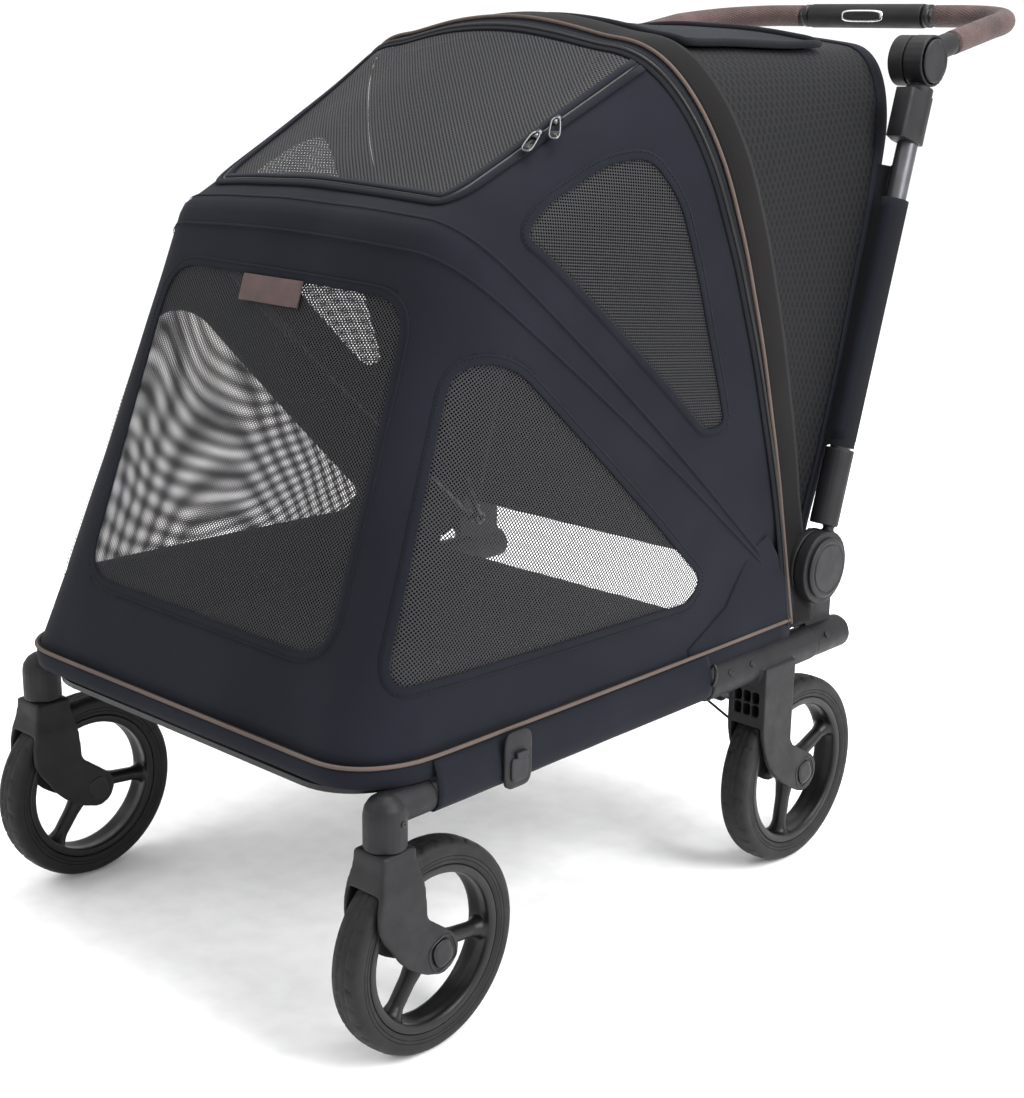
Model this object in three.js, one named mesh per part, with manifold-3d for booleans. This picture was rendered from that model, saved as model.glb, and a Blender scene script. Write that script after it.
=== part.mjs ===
// A large folding pet stroller: an alloy chassis on two castering front wheels and two fixed rear
// wheels, a zipped fabric cabin stretched over two hoops, and a push frame with a tilting handle.
// Millimetres, +Z up. X is across the stroller (+X is its right-hand side seen from the nose),
// the nose points along -Y and the handle is behind, along +Y.
import * as THREE from "three";
import { mergeVertices } from "three/addons/utils/BufferGeometryUtils.js";
import Module from "manifold-3d";

const wasm = await Module();
wasm.setup();

// ---- Driving dimensions -------------------------------------------------------------------------
const HALF_TRACK = 298; // wheel planes, side rails and push arms all lie at this X
const AXLE_Y = 321; // half the wheelbase
const FRONT_R = 115;
const REAR_R = 120;
const TYRE_HALF_WIDTH = 19;
const CASTER_TRAIL = 53; // how far a front wheel follows its swivel axis
const STEM_Y = -AXLE_Y - CASTER_TRAIL;
const FORK_TOP_Z = 241;
const RAIL_Z = 280;
const RAIL_R = 15;
const FORK_INNER = 21.5; // half the gap between a fork's legs
const FORK_OUTER = 27.5; // half a fork's overall width
const FOLD = { y: 358, z: 378, r: 46 }; // main fold hinge
const ARM_LEAN = THREE.MathUtils.degToRad(16.6); // the push arms lean back from the vertical
const ARM_LENGTH = 632; // fold hinge to handle hinge
const HANDLE_HINGE_R = 31;
const HANDLE_LEG_X = 272;
const HOOP_PIVOT = { y: 335, z: 338 };
const FRONT_HOOP_ANGLE = THREE.MathUtils.degToRad(41.3);
const MID_HOOP_ANGLE = THREE.MathUtils.degToRad(71);
const HOOP_R = 6;
const CABIN = { halfWidth: 303, nose: -403, corner: 75, rimZ: 322, tail: 300 };
const FABRIC = 3; // thickness of the sewn panels
const GAP = 0.4; // clearance between pieces that meet
const HANDLE_REAR_Y = 872;
const HANDLE_REAR_Z = 1040;
const CENTRE_Y = 226; // middle of the whole stroller's length, in the chassis's own Y

// ---- Materials ----------------------------------------------------------------------------------
const paint = (color, roughness, metalness = 0) =>
  new THREE.MeshStandardMaterial({ color, roughness, metalness });
const MATERIAL = {
  fabric: paint(0x1d2029, 0.9),
  mesh: paint(0x2a2c33, 0.8),
  tube: paint(0x2c2c2f, 0.45, 0.6),
  plastic: paint(0x36363a, 0.55),
  tyre: paint(0x28282a, 0.8),
  rim: paint(0x1a1a1c, 0.5),
  leather: paint(0x6f564c, 0.6),
  steel: paint(0x9a9a9c, 0.3, 1),
};

// ---- Solid helpers ------------------------------------------------------------------------------
function toSolid(geometry) {
  const bare = new THREE.BufferGeometry();
  const source = geometry.index ? geometry.toNonIndexed() : geometry;
  bare.setAttribute("position", source.getAttribute("position").clone());
  const merged = mergeVertices(bare, 1e-3);
  return new wasm.Manifold(
    new wasm.Mesh({
      numProp: 3,
      vertProperties: merged.attributes.position.array,
      triVerts: new Uint32Array(merged.index.array),
    }),
  );
}

function toGeometry(solid) {
  const mesh = solid.getMesh();
  return new THREE.BufferGeometry()
    .setAttribute("position", new THREE.BufferAttribute(mesh.vertProperties, 3))
    .setIndex(new THREE.BufferAttribute(mesh.triVerts, 1));
}

const join = (...geometries) => geometries.map(toSolid).reduce((sum, next) => sum.add(next));
const cut = (solid, ...tools) => tools.reduce((left, tool) => left.subtract(toSolid(tool)), solid);

function cylinder(radius, from, to, segments = 20) {
  const a = new THREE.Vector3(...from);
  const b = new THREE.Vector3(...to);
  const along = b.clone().sub(a);
  const turn = new THREE.Quaternion().setFromUnitVectors(
    new THREE.Vector3(0, 1, 0),
    along.clone().normalize(),
  );
  const middle = a.add(b).multiplyScalar(0.5);
  return new THREE.CylinderGeometry(radius, radius, along.length(), segments)
    .applyQuaternion(turn)
    .translate(middle.x, middle.y, middle.z);
}

const box = (width, depth, height, x, y, z) =>
  new THREE.BoxGeometry(width, depth, height).translate(x, y, z);

// A tube of round section along a smooth curve.
function tubeAlong(curve, radius, sides = 12, steps = 24) {
  const section = new THREE.Shape();
  section.absarc(0, 0, radius, 0, Math.PI * 2);
  return new THREE.ExtrudeGeometry(section, {
    steps,
    curveSegments: sides / 2,
    extrudePath: curve,
    bevelEnabled: false,
  });
}

// A side profile drawn in (y, z), made into a plate from x0 to x1.
function sidePlate(shape, x0, x1, curveSegments = 8) {
  const swap = new THREE.Matrix4().set(0, 0, 1, x0, 1, 0, 0, 0, 0, 1, 0, 0, 0, 0, 0, 1);
  return new THREE.ExtrudeGeometry(shape, {
    depth: x1 - x0,
    bevelEnabled: false,
    curveSegments,
  }).applyMatrix4(swap);
}

// A ring about the X axis from a closed profile of [radius, x] points.
function ringAboutX(profile, segments) {
  const points = profile.map(([r, x]) => new THREE.Vector2(r, x));
  points.push(points[0].clone());
  return new THREE.LatheGeometry(points, segments).rotateZ(-Math.PI / 2);
}

const root = new THREE.Group();
const chassis = new THREE.Group();
chassis.position.y = -CENTRE_Y;
root.add(chassis);

function part(name, shape, material, position = [0, 0, 0]) {
  const geometry = shape.isBufferGeometry ? shape : toGeometry(shape);
  const mesh = new THREE.Mesh(geometry, material);
  mesh.name = name;
  mesh.position.set(...position);
  chassis.add(mesh);
}

const SIDES = [
  ["left", -1],
  ["right", 1],
];

// ---- Wheels -------------------------------------------------------------------------------------
const AXLE_R = 5;
const WHEEL_SEGMENTS = 28;

function tyre(radius) {
  const w = TYRE_HALF_WIDTH;
  const tread = radius / Math.cos(Math.PI / WHEEL_SEGMENTS); // flats touch the ground, not corners
  const section = [
    [tread - 16, -w],
    [tread - 5, -0.9 * w],
    [tread, -0.5 * w],
    [tread, 0.5 * w],
    [tread - 5, 0.9 * w],
    [tread - 16, w],
    [radius - 24, w - 2],
    [radius - 24, 2 - w],
  ];
  return ringAboutX(section, WHEEL_SEGMENTS).rotateX(Math.PI / WHEEL_SEGMENTS);
}

function rim(radius) {
  const outer = radius - 26;
  const barrel = [
    [outer, -16],
    [outer, 16],
    [outer - 8, 16],
    [outer - 5, 0],
    [outer - 8, -16],
  ];
  const spokes = [90, 210, 330].map((degrees) => {
    const a = THREE.MathUtils.degToRad(degrees);
    const reach = outer - 3;
    return cylinder(8, [0, 0, 0], [0, Math.cos(a) * reach, Math.sin(a) * reach], 8);
  });
  const hub = cylinder(17, [-20, 0, 0], [20, 0, 0], 16);
  return cut(
    join(ringAboutX(barrel, WHEEL_SEGMENTS).rotateX(Math.PI / WHEEL_SEGMENTS), hub, ...spokes),
    cylinder(AXLE_R + GAP, [-30, 0, 0], [30, 0, 0], 12),
  );
}

// The rounded release button on the outside of each fork, drawn about the axle.
function capShape(grow = 0) {
  const half = 14 + grow;
  const shape = new THREE.Shape();
  shape.absellipse(0, 0, half, half + 2, 0, Math.PI * 2);
  return shape;
}

const CAP_TURN = THREE.MathUtils.degToRad(20);
const CAP_DEPTH = 3.4;

function cap(inner, outer, grow) {
  return sidePlate(capShape(grow), inner, outer, 5).rotateX(CAP_TURN);
}

function addWheel(prefix, side, x, y, radius) {
  const centre = [x, y, radius];
  part(`${prefix}_tyre_${side}`, tyre(radius), MATERIAL.tyre, centre);
  part(`${prefix}_rim_${side}`, rim(radius), MATERIAL.rim, centre);
  const reach = FORK_OUTER - CAP_DEPTH - GAP;
  part(
    `${prefix}_axle_${side}`,
    cylinder(AXLE_R, [-reach, 0, 0], [reach, 0, 0], 12),
    MATERIAL.steel,
    centre,
  );
  // The button stands 1 mm proud and has 2 mm of travel in its pocket.
  const sign = Math.sign(x);
  const outer = FORK_OUTER + 1;
  const inner = FORK_OUTER - CAP_DEPTH + 2.2;
  const [x0, x1] = sign > 0 ? [inner, outer] : [-outer, -inner];
  part(`${prefix}_release_button_${side}`, cap(x0, x1, 0), MATERIAL.plastic, centre);
}

// Pocket and bores that a fork needs round its axle, at the fork's own x = 0.
function axleCuts(sign, y, z) {
  const bottom = FORK_OUTER - CAP_DEPTH;
  const [x0, x1] = sign > 0 ? [bottom, 40] : [-40, -bottom];
  return [
    cap(x0, x1, GAP).translate(0, y, z),
    cylinder(AXLE_R + GAP, [-40, y, z], [40, y, z], 12),
  ];
}

// ---- Front casters ------------------------------------------------------------------------------
const STEM_R = 22.5;
const PIN_R = 8;

// Side view of a caster fork, drawn about its swivel axis.
function forkShape() {
  const shape = new THREE.Shape();
  shape.moveTo(-STEM_R, FORK_TOP_Z);
  shape.bezierCurveTo(-STEM_R, 215, -34, 200, -34, 176);
  shape.bezierCurveTo(-34, 158, -22, 150, -14, 138);
  shape.bezierCurveTo(-4, 118, 14, 106, 34, 96);
  shape.absarc(CASTER_TRAIL, FRONT_R, 24, THREE.MathUtils.degToRad(238), THREE.MathUtils.degToRad(412));
  shape.lineTo(36, 158);
  shape.quadraticCurveTo(33, 161, 33, 172);
  shape.bezierCurveTo(33, 205, STEM_R, 215, STEM_R, FORK_TOP_Z);
  return shape;
}

// Front view of the same fork: a round neck that swells to its full width.
function forkFront() {
  const shape = new THREE.Shape();
  shape.moveTo(-STEM_R, FORK_TOP_Z);
  shape.quadraticCurveTo(-STEM_R, 222, -FORK_OUTER, 204);
  shape.lineTo(-FORK_OUTER, 60);
  shape.lineTo(FORK_OUTER, 60);
  shape.lineTo(FORK_OUTER, 204);
  shape.quadraticCurveTo(STEM_R, 222, STEM_R, FORK_TOP_Z);
  return new THREE.ExtrudeGeometry(shape, { depth: 200, bevelEnabled: false, curveSegments: 3 })
    .rotateX(Math.PI / 2)
    .translate(0, 110, 0);
}

function casterFork(sign) {
  const side = toSolid(sidePlate(forkShape(), -FORK_OUTER, FORK_OUTER, 4));
  const wheelSlot = cylinder(
    FRONT_R + 5,
    [-FORK_INNER, CASTER_TRAIL, FRONT_R],
    [FORK_INNER, CASTER_TRAIL, FRONT_R],
    28,
  );
  const pin = cylinder(PIN_R, [0, 0, FORK_TOP_Z - 4], [0, 0, FORK_TOP_Z + 24], 16);
  const body = side.intersect(toSolid(forkFront()));
  return cut(body, wheelSlot, ...axleCuts(sign, CASTER_TRAIL, FRONT_R)).add(toSolid(pin));
}

function frontElbow() {
  const foot = FORK_TOP_Z + GAP;
  const drop = cylinder(STEM_R, [0, 0, foot], [0, 0, RAIL_Z - 4], 20);
  const knee = new THREE.SphereGeometry(STEM_R, 20, 8).rotateX(Math.PI / 2).translate(0, 0, RAIL_Z - 4);
  const arm = cylinder(18, [0, 0, RAIL_Z], [0, 56, RAIL_Z], 20);
  const bore = cylinder(PIN_R + GAP, [0, 0, foot - 1], [0, 0, FORK_TOP_Z + 25], 16);
  const socket = cylinder(RAIL_R + GAP, [0, 34, RAIL_Z], [0, 60, RAIL_Z], 20);
  return cut(join(drop, knee, arm), bore, socket);
}

for (const [side, sign] of SIDES) {
  const x = sign * HALF_TRACK;
  addWheel("front", side, x, -AXLE_Y, FRONT_R);
  part(`caster_fork_${side}`, casterFork(sign), MATERIAL.plastic, [x, STEM_Y, 0]);
  part(`front_elbow_${side}`, frontElbow(), MATERIAL.plastic, [x, STEM_Y, 0]);
}

// ---- Chassis rails and rear legs ----------------------------------------------------------------
const RAIL_FRONT_Y = STEM_Y + 35;
const SLEEVE = { from: 130, to: 346, r: 22 };
const BASE = { from: SLEEVE.to + GAP, to: 416 };

// Side view of a rear leg below its sleeve.
function rearLegShape() {
  const shape = new THREE.Shape();
  shape.moveTo(226, RAIL_Z);
  shape.lineTo(288, RAIL_Z);
  shape.lineTo(286, 182);
  shape.quadraticCurveTo(286, 172, 293, 165);
  shape.lineTo(AXLE_Y + 15, REAR_R + 20);
  shape.absarc(AXLE_Y, REAR_R, 25, THREE.MathUtils.degToRad(52), THREE.MathUtils.degToRad(-122), true);
  shape.quadraticCurveTo(262, 122, 244, 148);
  shape.quadraticCurveTo(228, 172, 226, 200);
  return shape;
}

// Six square pockets that lighten the leg's front wall, leaving a grid of ribs.
function legPockets() {
  const pockets = [];
  for (const x of [-13, 0, 13])
    for (const z of [223, 240]) pockets.push(box(10.5, 22, 13.5, x, 232, z));
  return pockets;
}

function rearLeg(sign) {
  const leg = sidePlate(rearLegShape(), -FORK_OUTER, FORK_OUTER, 4);
  const sleeve = cylinder(SLEEVE.r, [0, SLEEVE.from, RAIL_Z], [0, SLEEVE.to, RAIL_Z], 20);
  const slot = cylinder(
    REAR_R + 6,
    [-FORK_INNER, AXLE_Y, REAR_R],
    [FORK_INNER, AXLE_Y, REAR_R],
    28,
  );
  const bore = cylinder(RAIL_R + GAP, [0, SLEEVE.from - 1, RAIL_Z], [0, SLEEVE.to + 1, RAIL_Z], 20);
  return cut(join(leg, sleeve), slot, bore, ...legPockets(), ...axleCuts(sign, AXLE_Y, REAR_R));
}

const CROSS = { y: 262, z: 222, r: 9 };
const LEG_INSIDE_X = HALF_TRACK - FORK_OUTER - GAP;

for (const [side, sign] of SIDES) {
  const x = sign * HALF_TRACK;
  addWheel("rear", side, x, AXLE_Y, REAR_R);
  part(`rear_leg_${side}`, rearLeg(sign), MATERIAL.plastic, [x, 0, 0]);
  part(
    `side_rail_${side}`,
    cylinder(RAIL_R, [0, RAIL_FRONT_Y, RAIL_Z], [0, BASE.to - 12, RAIL_Z], 20),
    MATERIAL.tube,
    [x, 0, 0],
  );
}
part(
  "rear_cross_tube",
  cylinder(CROSS.r, [-LEG_INSIDE_X, CROSS.y, CROSS.z], [LEG_INSIDE_X, CROSS.y, CROSS.z], 20),
  MATERIAL.tube,
);

// ---- Brake --------------------------------------------------------------------------------------
function brakePedal() {
  const x = 205;
  const half = 34;
  const collar = cylinder(CROSS.r + 5, [x - half, CROSS.y, CROSS.z], [x + half, CROSS.y, CROSS.z], 20);
  const tread = box(2 * half, 62, 9, x, CROSS.y + 38, CROSS.z + 4);
  const bore = cylinder(
    CROSS.r + GAP,
    [x - half - 1, CROSS.y, CROSS.z],
    [x + half + 1, CROSS.y, CROSS.z],
    20,
  );
  return cut(join(collar, tread), bore);
}
part("brake_pedal", brakePedal(), MATERIAL.plastic);

// The cable leaves one leg, runs up to a guide under the floor and down to the other leg.
const CABLE_ROUTE = [
  [-269, 240, 196],
  [-190, 238, 230],
  [-100, 235, 258],
  [0, 233, 266],
  [100, 235, 258],
  [190, 238, 230],
  [269, 240, 196],
];
part(
  "brake_cable",
  tubeAlong(
    new THREE.CatmullRomCurve3(CABLE_ROUTE.map((p) => new THREE.Vector3(...p))),
    1.6,
    6,
    16,
  ),
  MATERIAL.rim,
);

// ---- Fold hinges and push arms ------------------------------------------------------------------
const ARM = new THREE.Vector3(0, Math.sin(ARM_LEAN), Math.cos(ARM_LEAN));
const HINGE_IN = -12; // inner face of the fixed hinge half, from the arm's plane
const HINGE_OUT = 16;
const alongArm = (distance, x = 0) => [
  x,
  FOLD.y + ARM.y * distance,
  FOLD.z + ARM.z * distance,
];

function hingeBase(sign) {
  const barrel = cylinder(SLEEVE.r - 1, [0, BASE.from, RAIL_Z], [0, BASE.to, RAIL_Z], 20);
  const post = box(11, 54, 90, sign * (HINGE_IN + 5.5), 375, RAIL_Z + 45);
  const disc = cylinder(
    FOLD.r,
    [sign * HINGE_IN, FOLD.y, FOLD.z],
    [sign * -1, FOLD.y, FOLD.z],
    32,
  );
  const foot = box(11, 50, 46, sign * (HINGE_IN + 5.5), HOOP_PIVOT.y + 13, RAIL_Z + 46.5);
  const pin = cylinder(
    4,
    [sign * (HINGE_IN + 2), HOOP_PIVOT.y, HOOP_PIVOT.z],
    [sign * (HINGE_IN - 34), HOOP_PIVOT.y, HOOP_PIVOT.z],
    14,
  );
  const bore = cylinder(RAIL_R + GAP, [0, BASE.from - 1, RAIL_Z], [0, BASE.to - 11, RAIL_Z], 20);
  return cut(join(barrel, post, disc, foot, pin), bore);
}

function hingeKnuckle(sign) {
  const disc = cylinder(
    FOLD.r,
    [0, FOLD.y, FOLD.z],
    [sign * HINGE_OUT, FOLD.y, FOLD.z],
    32,
  );
  const socket = cylinder(18, alongArm(FOLD.r + 6), alongArm(148), 20);
  const neck = cylinder(7, alongArm(30, sign * 8), alongArm(FOLD.r + 12, sign * 8), 14);
  const bore = cylinder(13 + GAP, alongArm(FOLD.r + 14), alongArm(150), 20);
  return cut(join(disc, socket, neck), bore);
}

function hingeCover(sign) {
  const profile = [
    [0, 0],
    [38, 0],
    [37, 3],
    [31, 6],
    [0, 6],
  ].map(([r, x]) => new THREE.Vector2(r, x));
  return new THREE.LatheGeometry(profile, 32)
    .rotateZ(sign > 0 ? -Math.PI / 2 : Math.PI / 2)
    .translate(sign * (HINGE_OUT + GAP), FOLD.y, FOLD.z);
}

const BUTTON_POCKET = 7;

function handleHousing(sign) {
  const [, y, z] = alongArm(ARM_LENGTH);
  const drum = cylinder(HANDLE_HINGE_R, [sign * -14, y, z], [sign * 12, y, z], 24);
  const neck = cylinder(17, alongArm(ARM_LENGTH - 92), alongArm(ARM_LENGTH - 33), 20);
  const web = cylinder(11, alongArm(ARM_LENGTH - 40, -sign), alongArm(ARM_LENGTH - 18, -sign), 16);
  const bore = cylinder(13 + GAP, alongArm(ARM_LENGTH - 93), alongArm(ARM_LENGTH - 36), 20);
  const pocket = cylinder(
    27 + GAP,
    [sign * (12 - BUTTON_POCKET), y, z],
    [sign * 20, y, z],
    24,
  );
  return cut(join(drum, neck, web), bore, pocket);
}

for (const [side, sign] of SIDES) {
  const x = sign * HALF_TRACK;
  const [, y, z] = alongArm(ARM_LENGTH);
  part(`hinge_base_${side}`, hingeBase(sign), MATERIAL.plastic, [x, 0, 0]);
  part(`arm_knuckle_${side}`, hingeKnuckle(sign), MATERIAL.plastic, [x, 0, 0]);
  part(`hinge_cover_${side}`, hingeCover(sign), MATERIAL.plastic, [x, 0, 0]);
  part(
    `push_arm_${side}`,
    cylinder(13, alongArm(FOLD.r + 15), alongArm(ARM_LENGTH - 38), 20),
    MATERIAL.tube,
    [x, 0, 0],
  );
  part(`handle_hinge_${side}`, handleHousing(sign), MATERIAL.plastic, [x, 0, 0]);
  const inner = 12 - BUTTON_POCKET + 4.3;
  part(
    `tilt_button_${side}`,
    cylinder(27, [sign * inner, y, z], [sign * 15.5, y, z], 24),
    MATERIAL.plastic,
    [x, 0, 0],
  );
}

// ---- Handle -------------------------------------------------------------------------------------
const HANDLE_TUBE_R = 11;
const GRIP_R = 15.5;
const [, HINGE_Y, HINGE_Z] = alongArm(ARM_LENGTH);
const HUB_HALF = 94; // half the length of the moulded piece at the middle of the bar

// Half of the handle's centre line, from the hinge round the corner to the middle of the bar.
function handleCurve(sign) {
  const leg = new THREE.Vector3(sign * HANDLE_LEG_X, HINGE_Y, HINGE_Z);
  const bend = new THREE.Vector3(sign * 262, HANDLE_REAR_Y - 110, HANDLE_REAR_Z - 14);
  const corner = new THREE.Vector3(sign * 252, HANDLE_REAR_Y - 4, HANDLE_REAR_Z - 1);
  const bar = new THREE.Vector3(sign * 150, HANDLE_REAR_Y, HANDLE_REAR_Z);
  const middle = new THREE.Vector3(0, HANDLE_REAR_Y, HANDLE_REAR_Z);
  const curve = new THREE.CurvePath();
  curve.add(new THREE.LineCurve3(leg, bend));
  curve.add(new THREE.QuadraticBezierCurve3(bend, corner, bar));
  curve.add(new THREE.LineCurve3(bar, middle));
  return curve;
}

// Points of the centre line between two fractions of its length, as a smooth curve.
function stretchOf(sign, from, to) {
  const curve = handleCurve(sign);
  const points = Array.from({ length: 22 }, (_, i) => curve.getPointAt(from + ((to - from) * i) / 21));
  return new THREE.CatmullRomCurve3(points);
}

const handleTube = (sign, radius) => tubeAlong(stretchOf(sign, 0.02, 0.999), radius, 10, 10);

function handleFrame() {
  const pieces = [];
  for (const [, sign] of SIDES) {
    pieces.push(handleTube(sign, HANDLE_TUBE_R));
    const x = sign * HANDLE_LEG_X;
    pieces.push(cylinder(HANDLE_HINGE_R, [x - 11, HINGE_Y, HINGE_Z], [x + 11, HINGE_Y, HINGE_Z], 24));
  }
  pieces.push(
    cylinder(HANDLE_TUBE_R, [-9, HANDLE_REAR_Y, HANDLE_REAR_Z], [9, HANDLE_REAR_Y, HANDLE_REAR_Z], 10),
  );
  return join(...pieces);
}
part("handle_frame", handleFrame(), MATERIAL.tube);

const FERRULE_END = 0.2; // fraction of the half handle where the bare ferrule ends
const GRIP_END = 1 - (HUB_HALF + 1.5) / handleCurve(1).getLength();

for (const [side, sign] of SIDES) {
  const grip = cut(
    toSolid(tubeAlong(stretchOf(sign, FERRULE_END, GRIP_END), GRIP_R, 12, 8)),
    handleTube(sign, HANDLE_TUBE_R + 0.7),
  );
  part(`grip_${side}`, grip, MATERIAL.leather);
}

const SWITCH = { half: 22, height: 9 };

function handleHub() {
  const at = (x) => [x, HANDLE_REAR_Y, HANDLE_REAR_Z];
  const body = cylinder(17, at(-HUB_HALF), at(HUB_HALF), 28);
  const bore = cylinder(HANDLE_TUBE_R + 0.8, at(-HUB_HALF - 1), at(HUB_HALF + 1), 14);
  const pocket = box(
    2 * (SWITCH.half + GAP),
    4.6,
    2 * (SWITCH.height / 2 + GAP),
    0,
    HANDLE_REAR_Y - 16.3,
    HANDLE_REAR_Z,
  );
  return cut(toSolid(body), bore, pocket);
}
part("handle_hub", handleHub(), MATERIAL.plastic);
part(
  "fold_switch",
  box(2 * SWITCH.half, 3, SWITCH.height, 0, HANDLE_REAR_Y - 18, HANDLE_REAR_Z),
  MATERIAL.rim,
);

// ---- Cabin outline ------------------------------------------------------------------------------
// The cabin is stretched between four seams that run from one side of the stroller to the other:
// the tray rim, the front hoop, the middle hoop and the back. Each has the same number of points.
const LEG_STEPS = 5;
const CORNER_STEPS = 4;
const BAR_STEPS = 3;

// A point in a hoop's plane: x across, reach out from the pivot line at the hoop's own angle.
const onHoop = (angle) => (x, reach) =>
  new THREE.Vector3(
    x,
    HOOP_PIVOT.y - Math.cos(angle) * reach,
    HOOP_PIVOT.z + Math.sin(angle) * reach,
  );

const mirrored = (half) => [...half.map(([x, r]) => [-x, r]), ...half.slice(0, -1).reverse()];

// Half of a seam as [x, reach] points: up the leg, round the corner and along to the middle.
function halfSeam(foot, waist, top, corner, middle) {
  const knee = new THREE.Vector2(
    2 * waist[0] - (foot[0] + top[0]) / 2,
    2 * waist[1] - (foot[1] + top[1]) / 2,
  );
  const leg = new THREE.QuadraticBezierCurve(
    new THREE.Vector2(...foot),
    knee,
    new THREE.Vector2(...top),
  );
  const bend = new THREE.QuadraticBezierCurve(
    new THREE.Vector2(...top),
    new THREE.Vector2(top[0] - (top[0] - corner[0]) * 0.2, corner[1]),
    new THREE.Vector2(...corner),
  );
  const points = [];
  for (let i = 0; i < LEG_STEPS; i++) points.push(leg.getPoint(i / LEG_STEPS).toArray());
  for (let i = 0; i < CORNER_STEPS; i++) points.push(bend.getPoint(i / CORNER_STEPS).toArray());
  for (let i = 0; i <= BAR_STEPS; i++) {
    const t = i / BAR_STEPS;
    const rise = Math.sin((t * Math.PI) / 2);
    points.push([corner[0] * (1 - t), corner[1] + (middle[1] - corner[1]) * rise]);
  }
  return points;
}

const { halfWidth, nose, corner: cornerR, rimZ, tail } = CABIN;
const TRAY_LENGTH = tail - nose;
const SEAMS = {
  rim: halfSeam(
    [300, 0],
    [halfWidth, TRAY_LENGTH * 0.45],
    [halfWidth, TRAY_LENGTH - cornerR],
    [halfWidth - cornerR, TRAY_LENGTH],
    [0, TRAY_LENGTH],
  ),
  front: halfSeam([284, 26], [282, 338], [252, 630], [176, 736], [0, 746]),
  mid: halfSeam([276, 34], [297, 320], [288, 552], [158, 706], [0, 729]),
  back: halfSeam([270, 0], [276, 250], [266, 528], [182, 650], [0, 662]),
};

const backAt = (x, height) => {
  const z = 352 + height;
  return new THREE.Vector3(x, FOLD.y + Math.tan(ARM_LEAN) * (z - FOLD.z) - 6, z);
};
const OUTER = [
  mirrored(SEAMS.rim).map(([x, reach]) => new THREE.Vector3(x, tail - reach, rimZ)),
  mirrored(SEAMS.front).map(([x, reach]) => onHoop(FRONT_HOOP_ANGLE)(x, reach)),
  mirrored(SEAMS.mid).map(([x, reach]) => onHoop(MID_HOOP_ANGLE)(x, reach)),
  mirrored(SEAMS.back).map(([x, height]) => backAt(x, height)),
];

const clampAt = (list, i) => list[Math.min(Math.max(i, 0), list.length - 1)];

// The inside of the fabric, a panel's thickness in from the outside.
const INNER = OUTER.map((row, r) =>
  row.map((point, c) => {
    const across = clampAt(row, c + 1).clone().sub(clampAt(row, c - 1));
    const along = clampAt(OUTER, r + 1)[c].clone().sub(clampAt(OUTER, r - 1)[c]);
    return point.clone().addScaledVector(across.cross(along).normalize(), -FABRIC);
  }),
);

// ---- Hoops --------------------------------------------------------------------------------------
const HOOP_INSET = HOOP_R + FABRIC + 3;

// A U-shaped tube that follows a seam from the inside, with an eye on the pivot pin at each end.
function hoop(angle, half, eyeX) {
  const inset = half.slice(1).map(([x, r], i, list) => {
    const before = clampAt(list, i - 1);
    const after = i + 1 < list.length ? list[i + 1] : [-x - 1, r];
    const normal = new THREE.Vector2(after[1] - before[1], before[0] - after[0]).normalize();
    return [x - normal.x * HOOP_INSET, r - normal.y * HOOP_INSET];
  });
  const middle = inset.length - 1;
  inset[middle] = [0, half[half.length - 1][1] - HOOP_INSET];
  const place = onHoop(angle);
  const line = mirrored([[eyeX, 7], [eyeX, 40], ...inset]).map(([x, r]) => place(x, r));
  const pieces = [tubeAlong(new THREE.CatmullRomCurve3(line, false, "centripetal"), HOOP_R, 8, 28)];
  const bores = [];
  for (const [, sign] of SIDES) {
    const { y, z } = HOOP_PIVOT;
    pieces.push(cylinder(10, [sign * (eyeX - 4), y, z], [sign * (eyeX + 4), y, z], 16));
    bores.push(cylinder(4 + GAP, [sign * (eyeX - 12), y, z], [sign * (eyeX + 12), y, z], 12));
  }
  return cut(join(...pieces), ...bores);
}

part("front_hoop", hoop(FRONT_HOOP_ANGLE, SEAMS.front, 273.5), MATERIAL.tube);
part("mid_hoop", hoop(MID_HOOP_ANGLE, SEAMS.mid, 259), MATERIAL.tube);

// ---- Cabin panels -------------------------------------------------------------------------------
// Moves point a towards b by a distance.
const nudge = (a, b, distance) => a.clone().add(b.clone().sub(a).setLength(distance));

// Pulls the border of a grid of points in by half the clearance, so that neighbours don't touch.
function insetGrid(rows) {
  const half = GAP / 2;
  const ends = rows.map((row) => {
    const out = row.map((p) => p.clone());
    out[0] = nudge(row[0], row[1], half);
    out[row.length - 1] = nudge(row[row.length - 1], row[row.length - 2], half);
    return out;
  });
  const last = ends.length - 1;
  const first = ends[0].map((p, i) => nudge(p, ends[1][i], half));
  const final = ends[last].map((p, i) => nudge(p, ends[last - 1][i], half));
  return [first, ...ends.slice(1, last), final];
}

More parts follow.
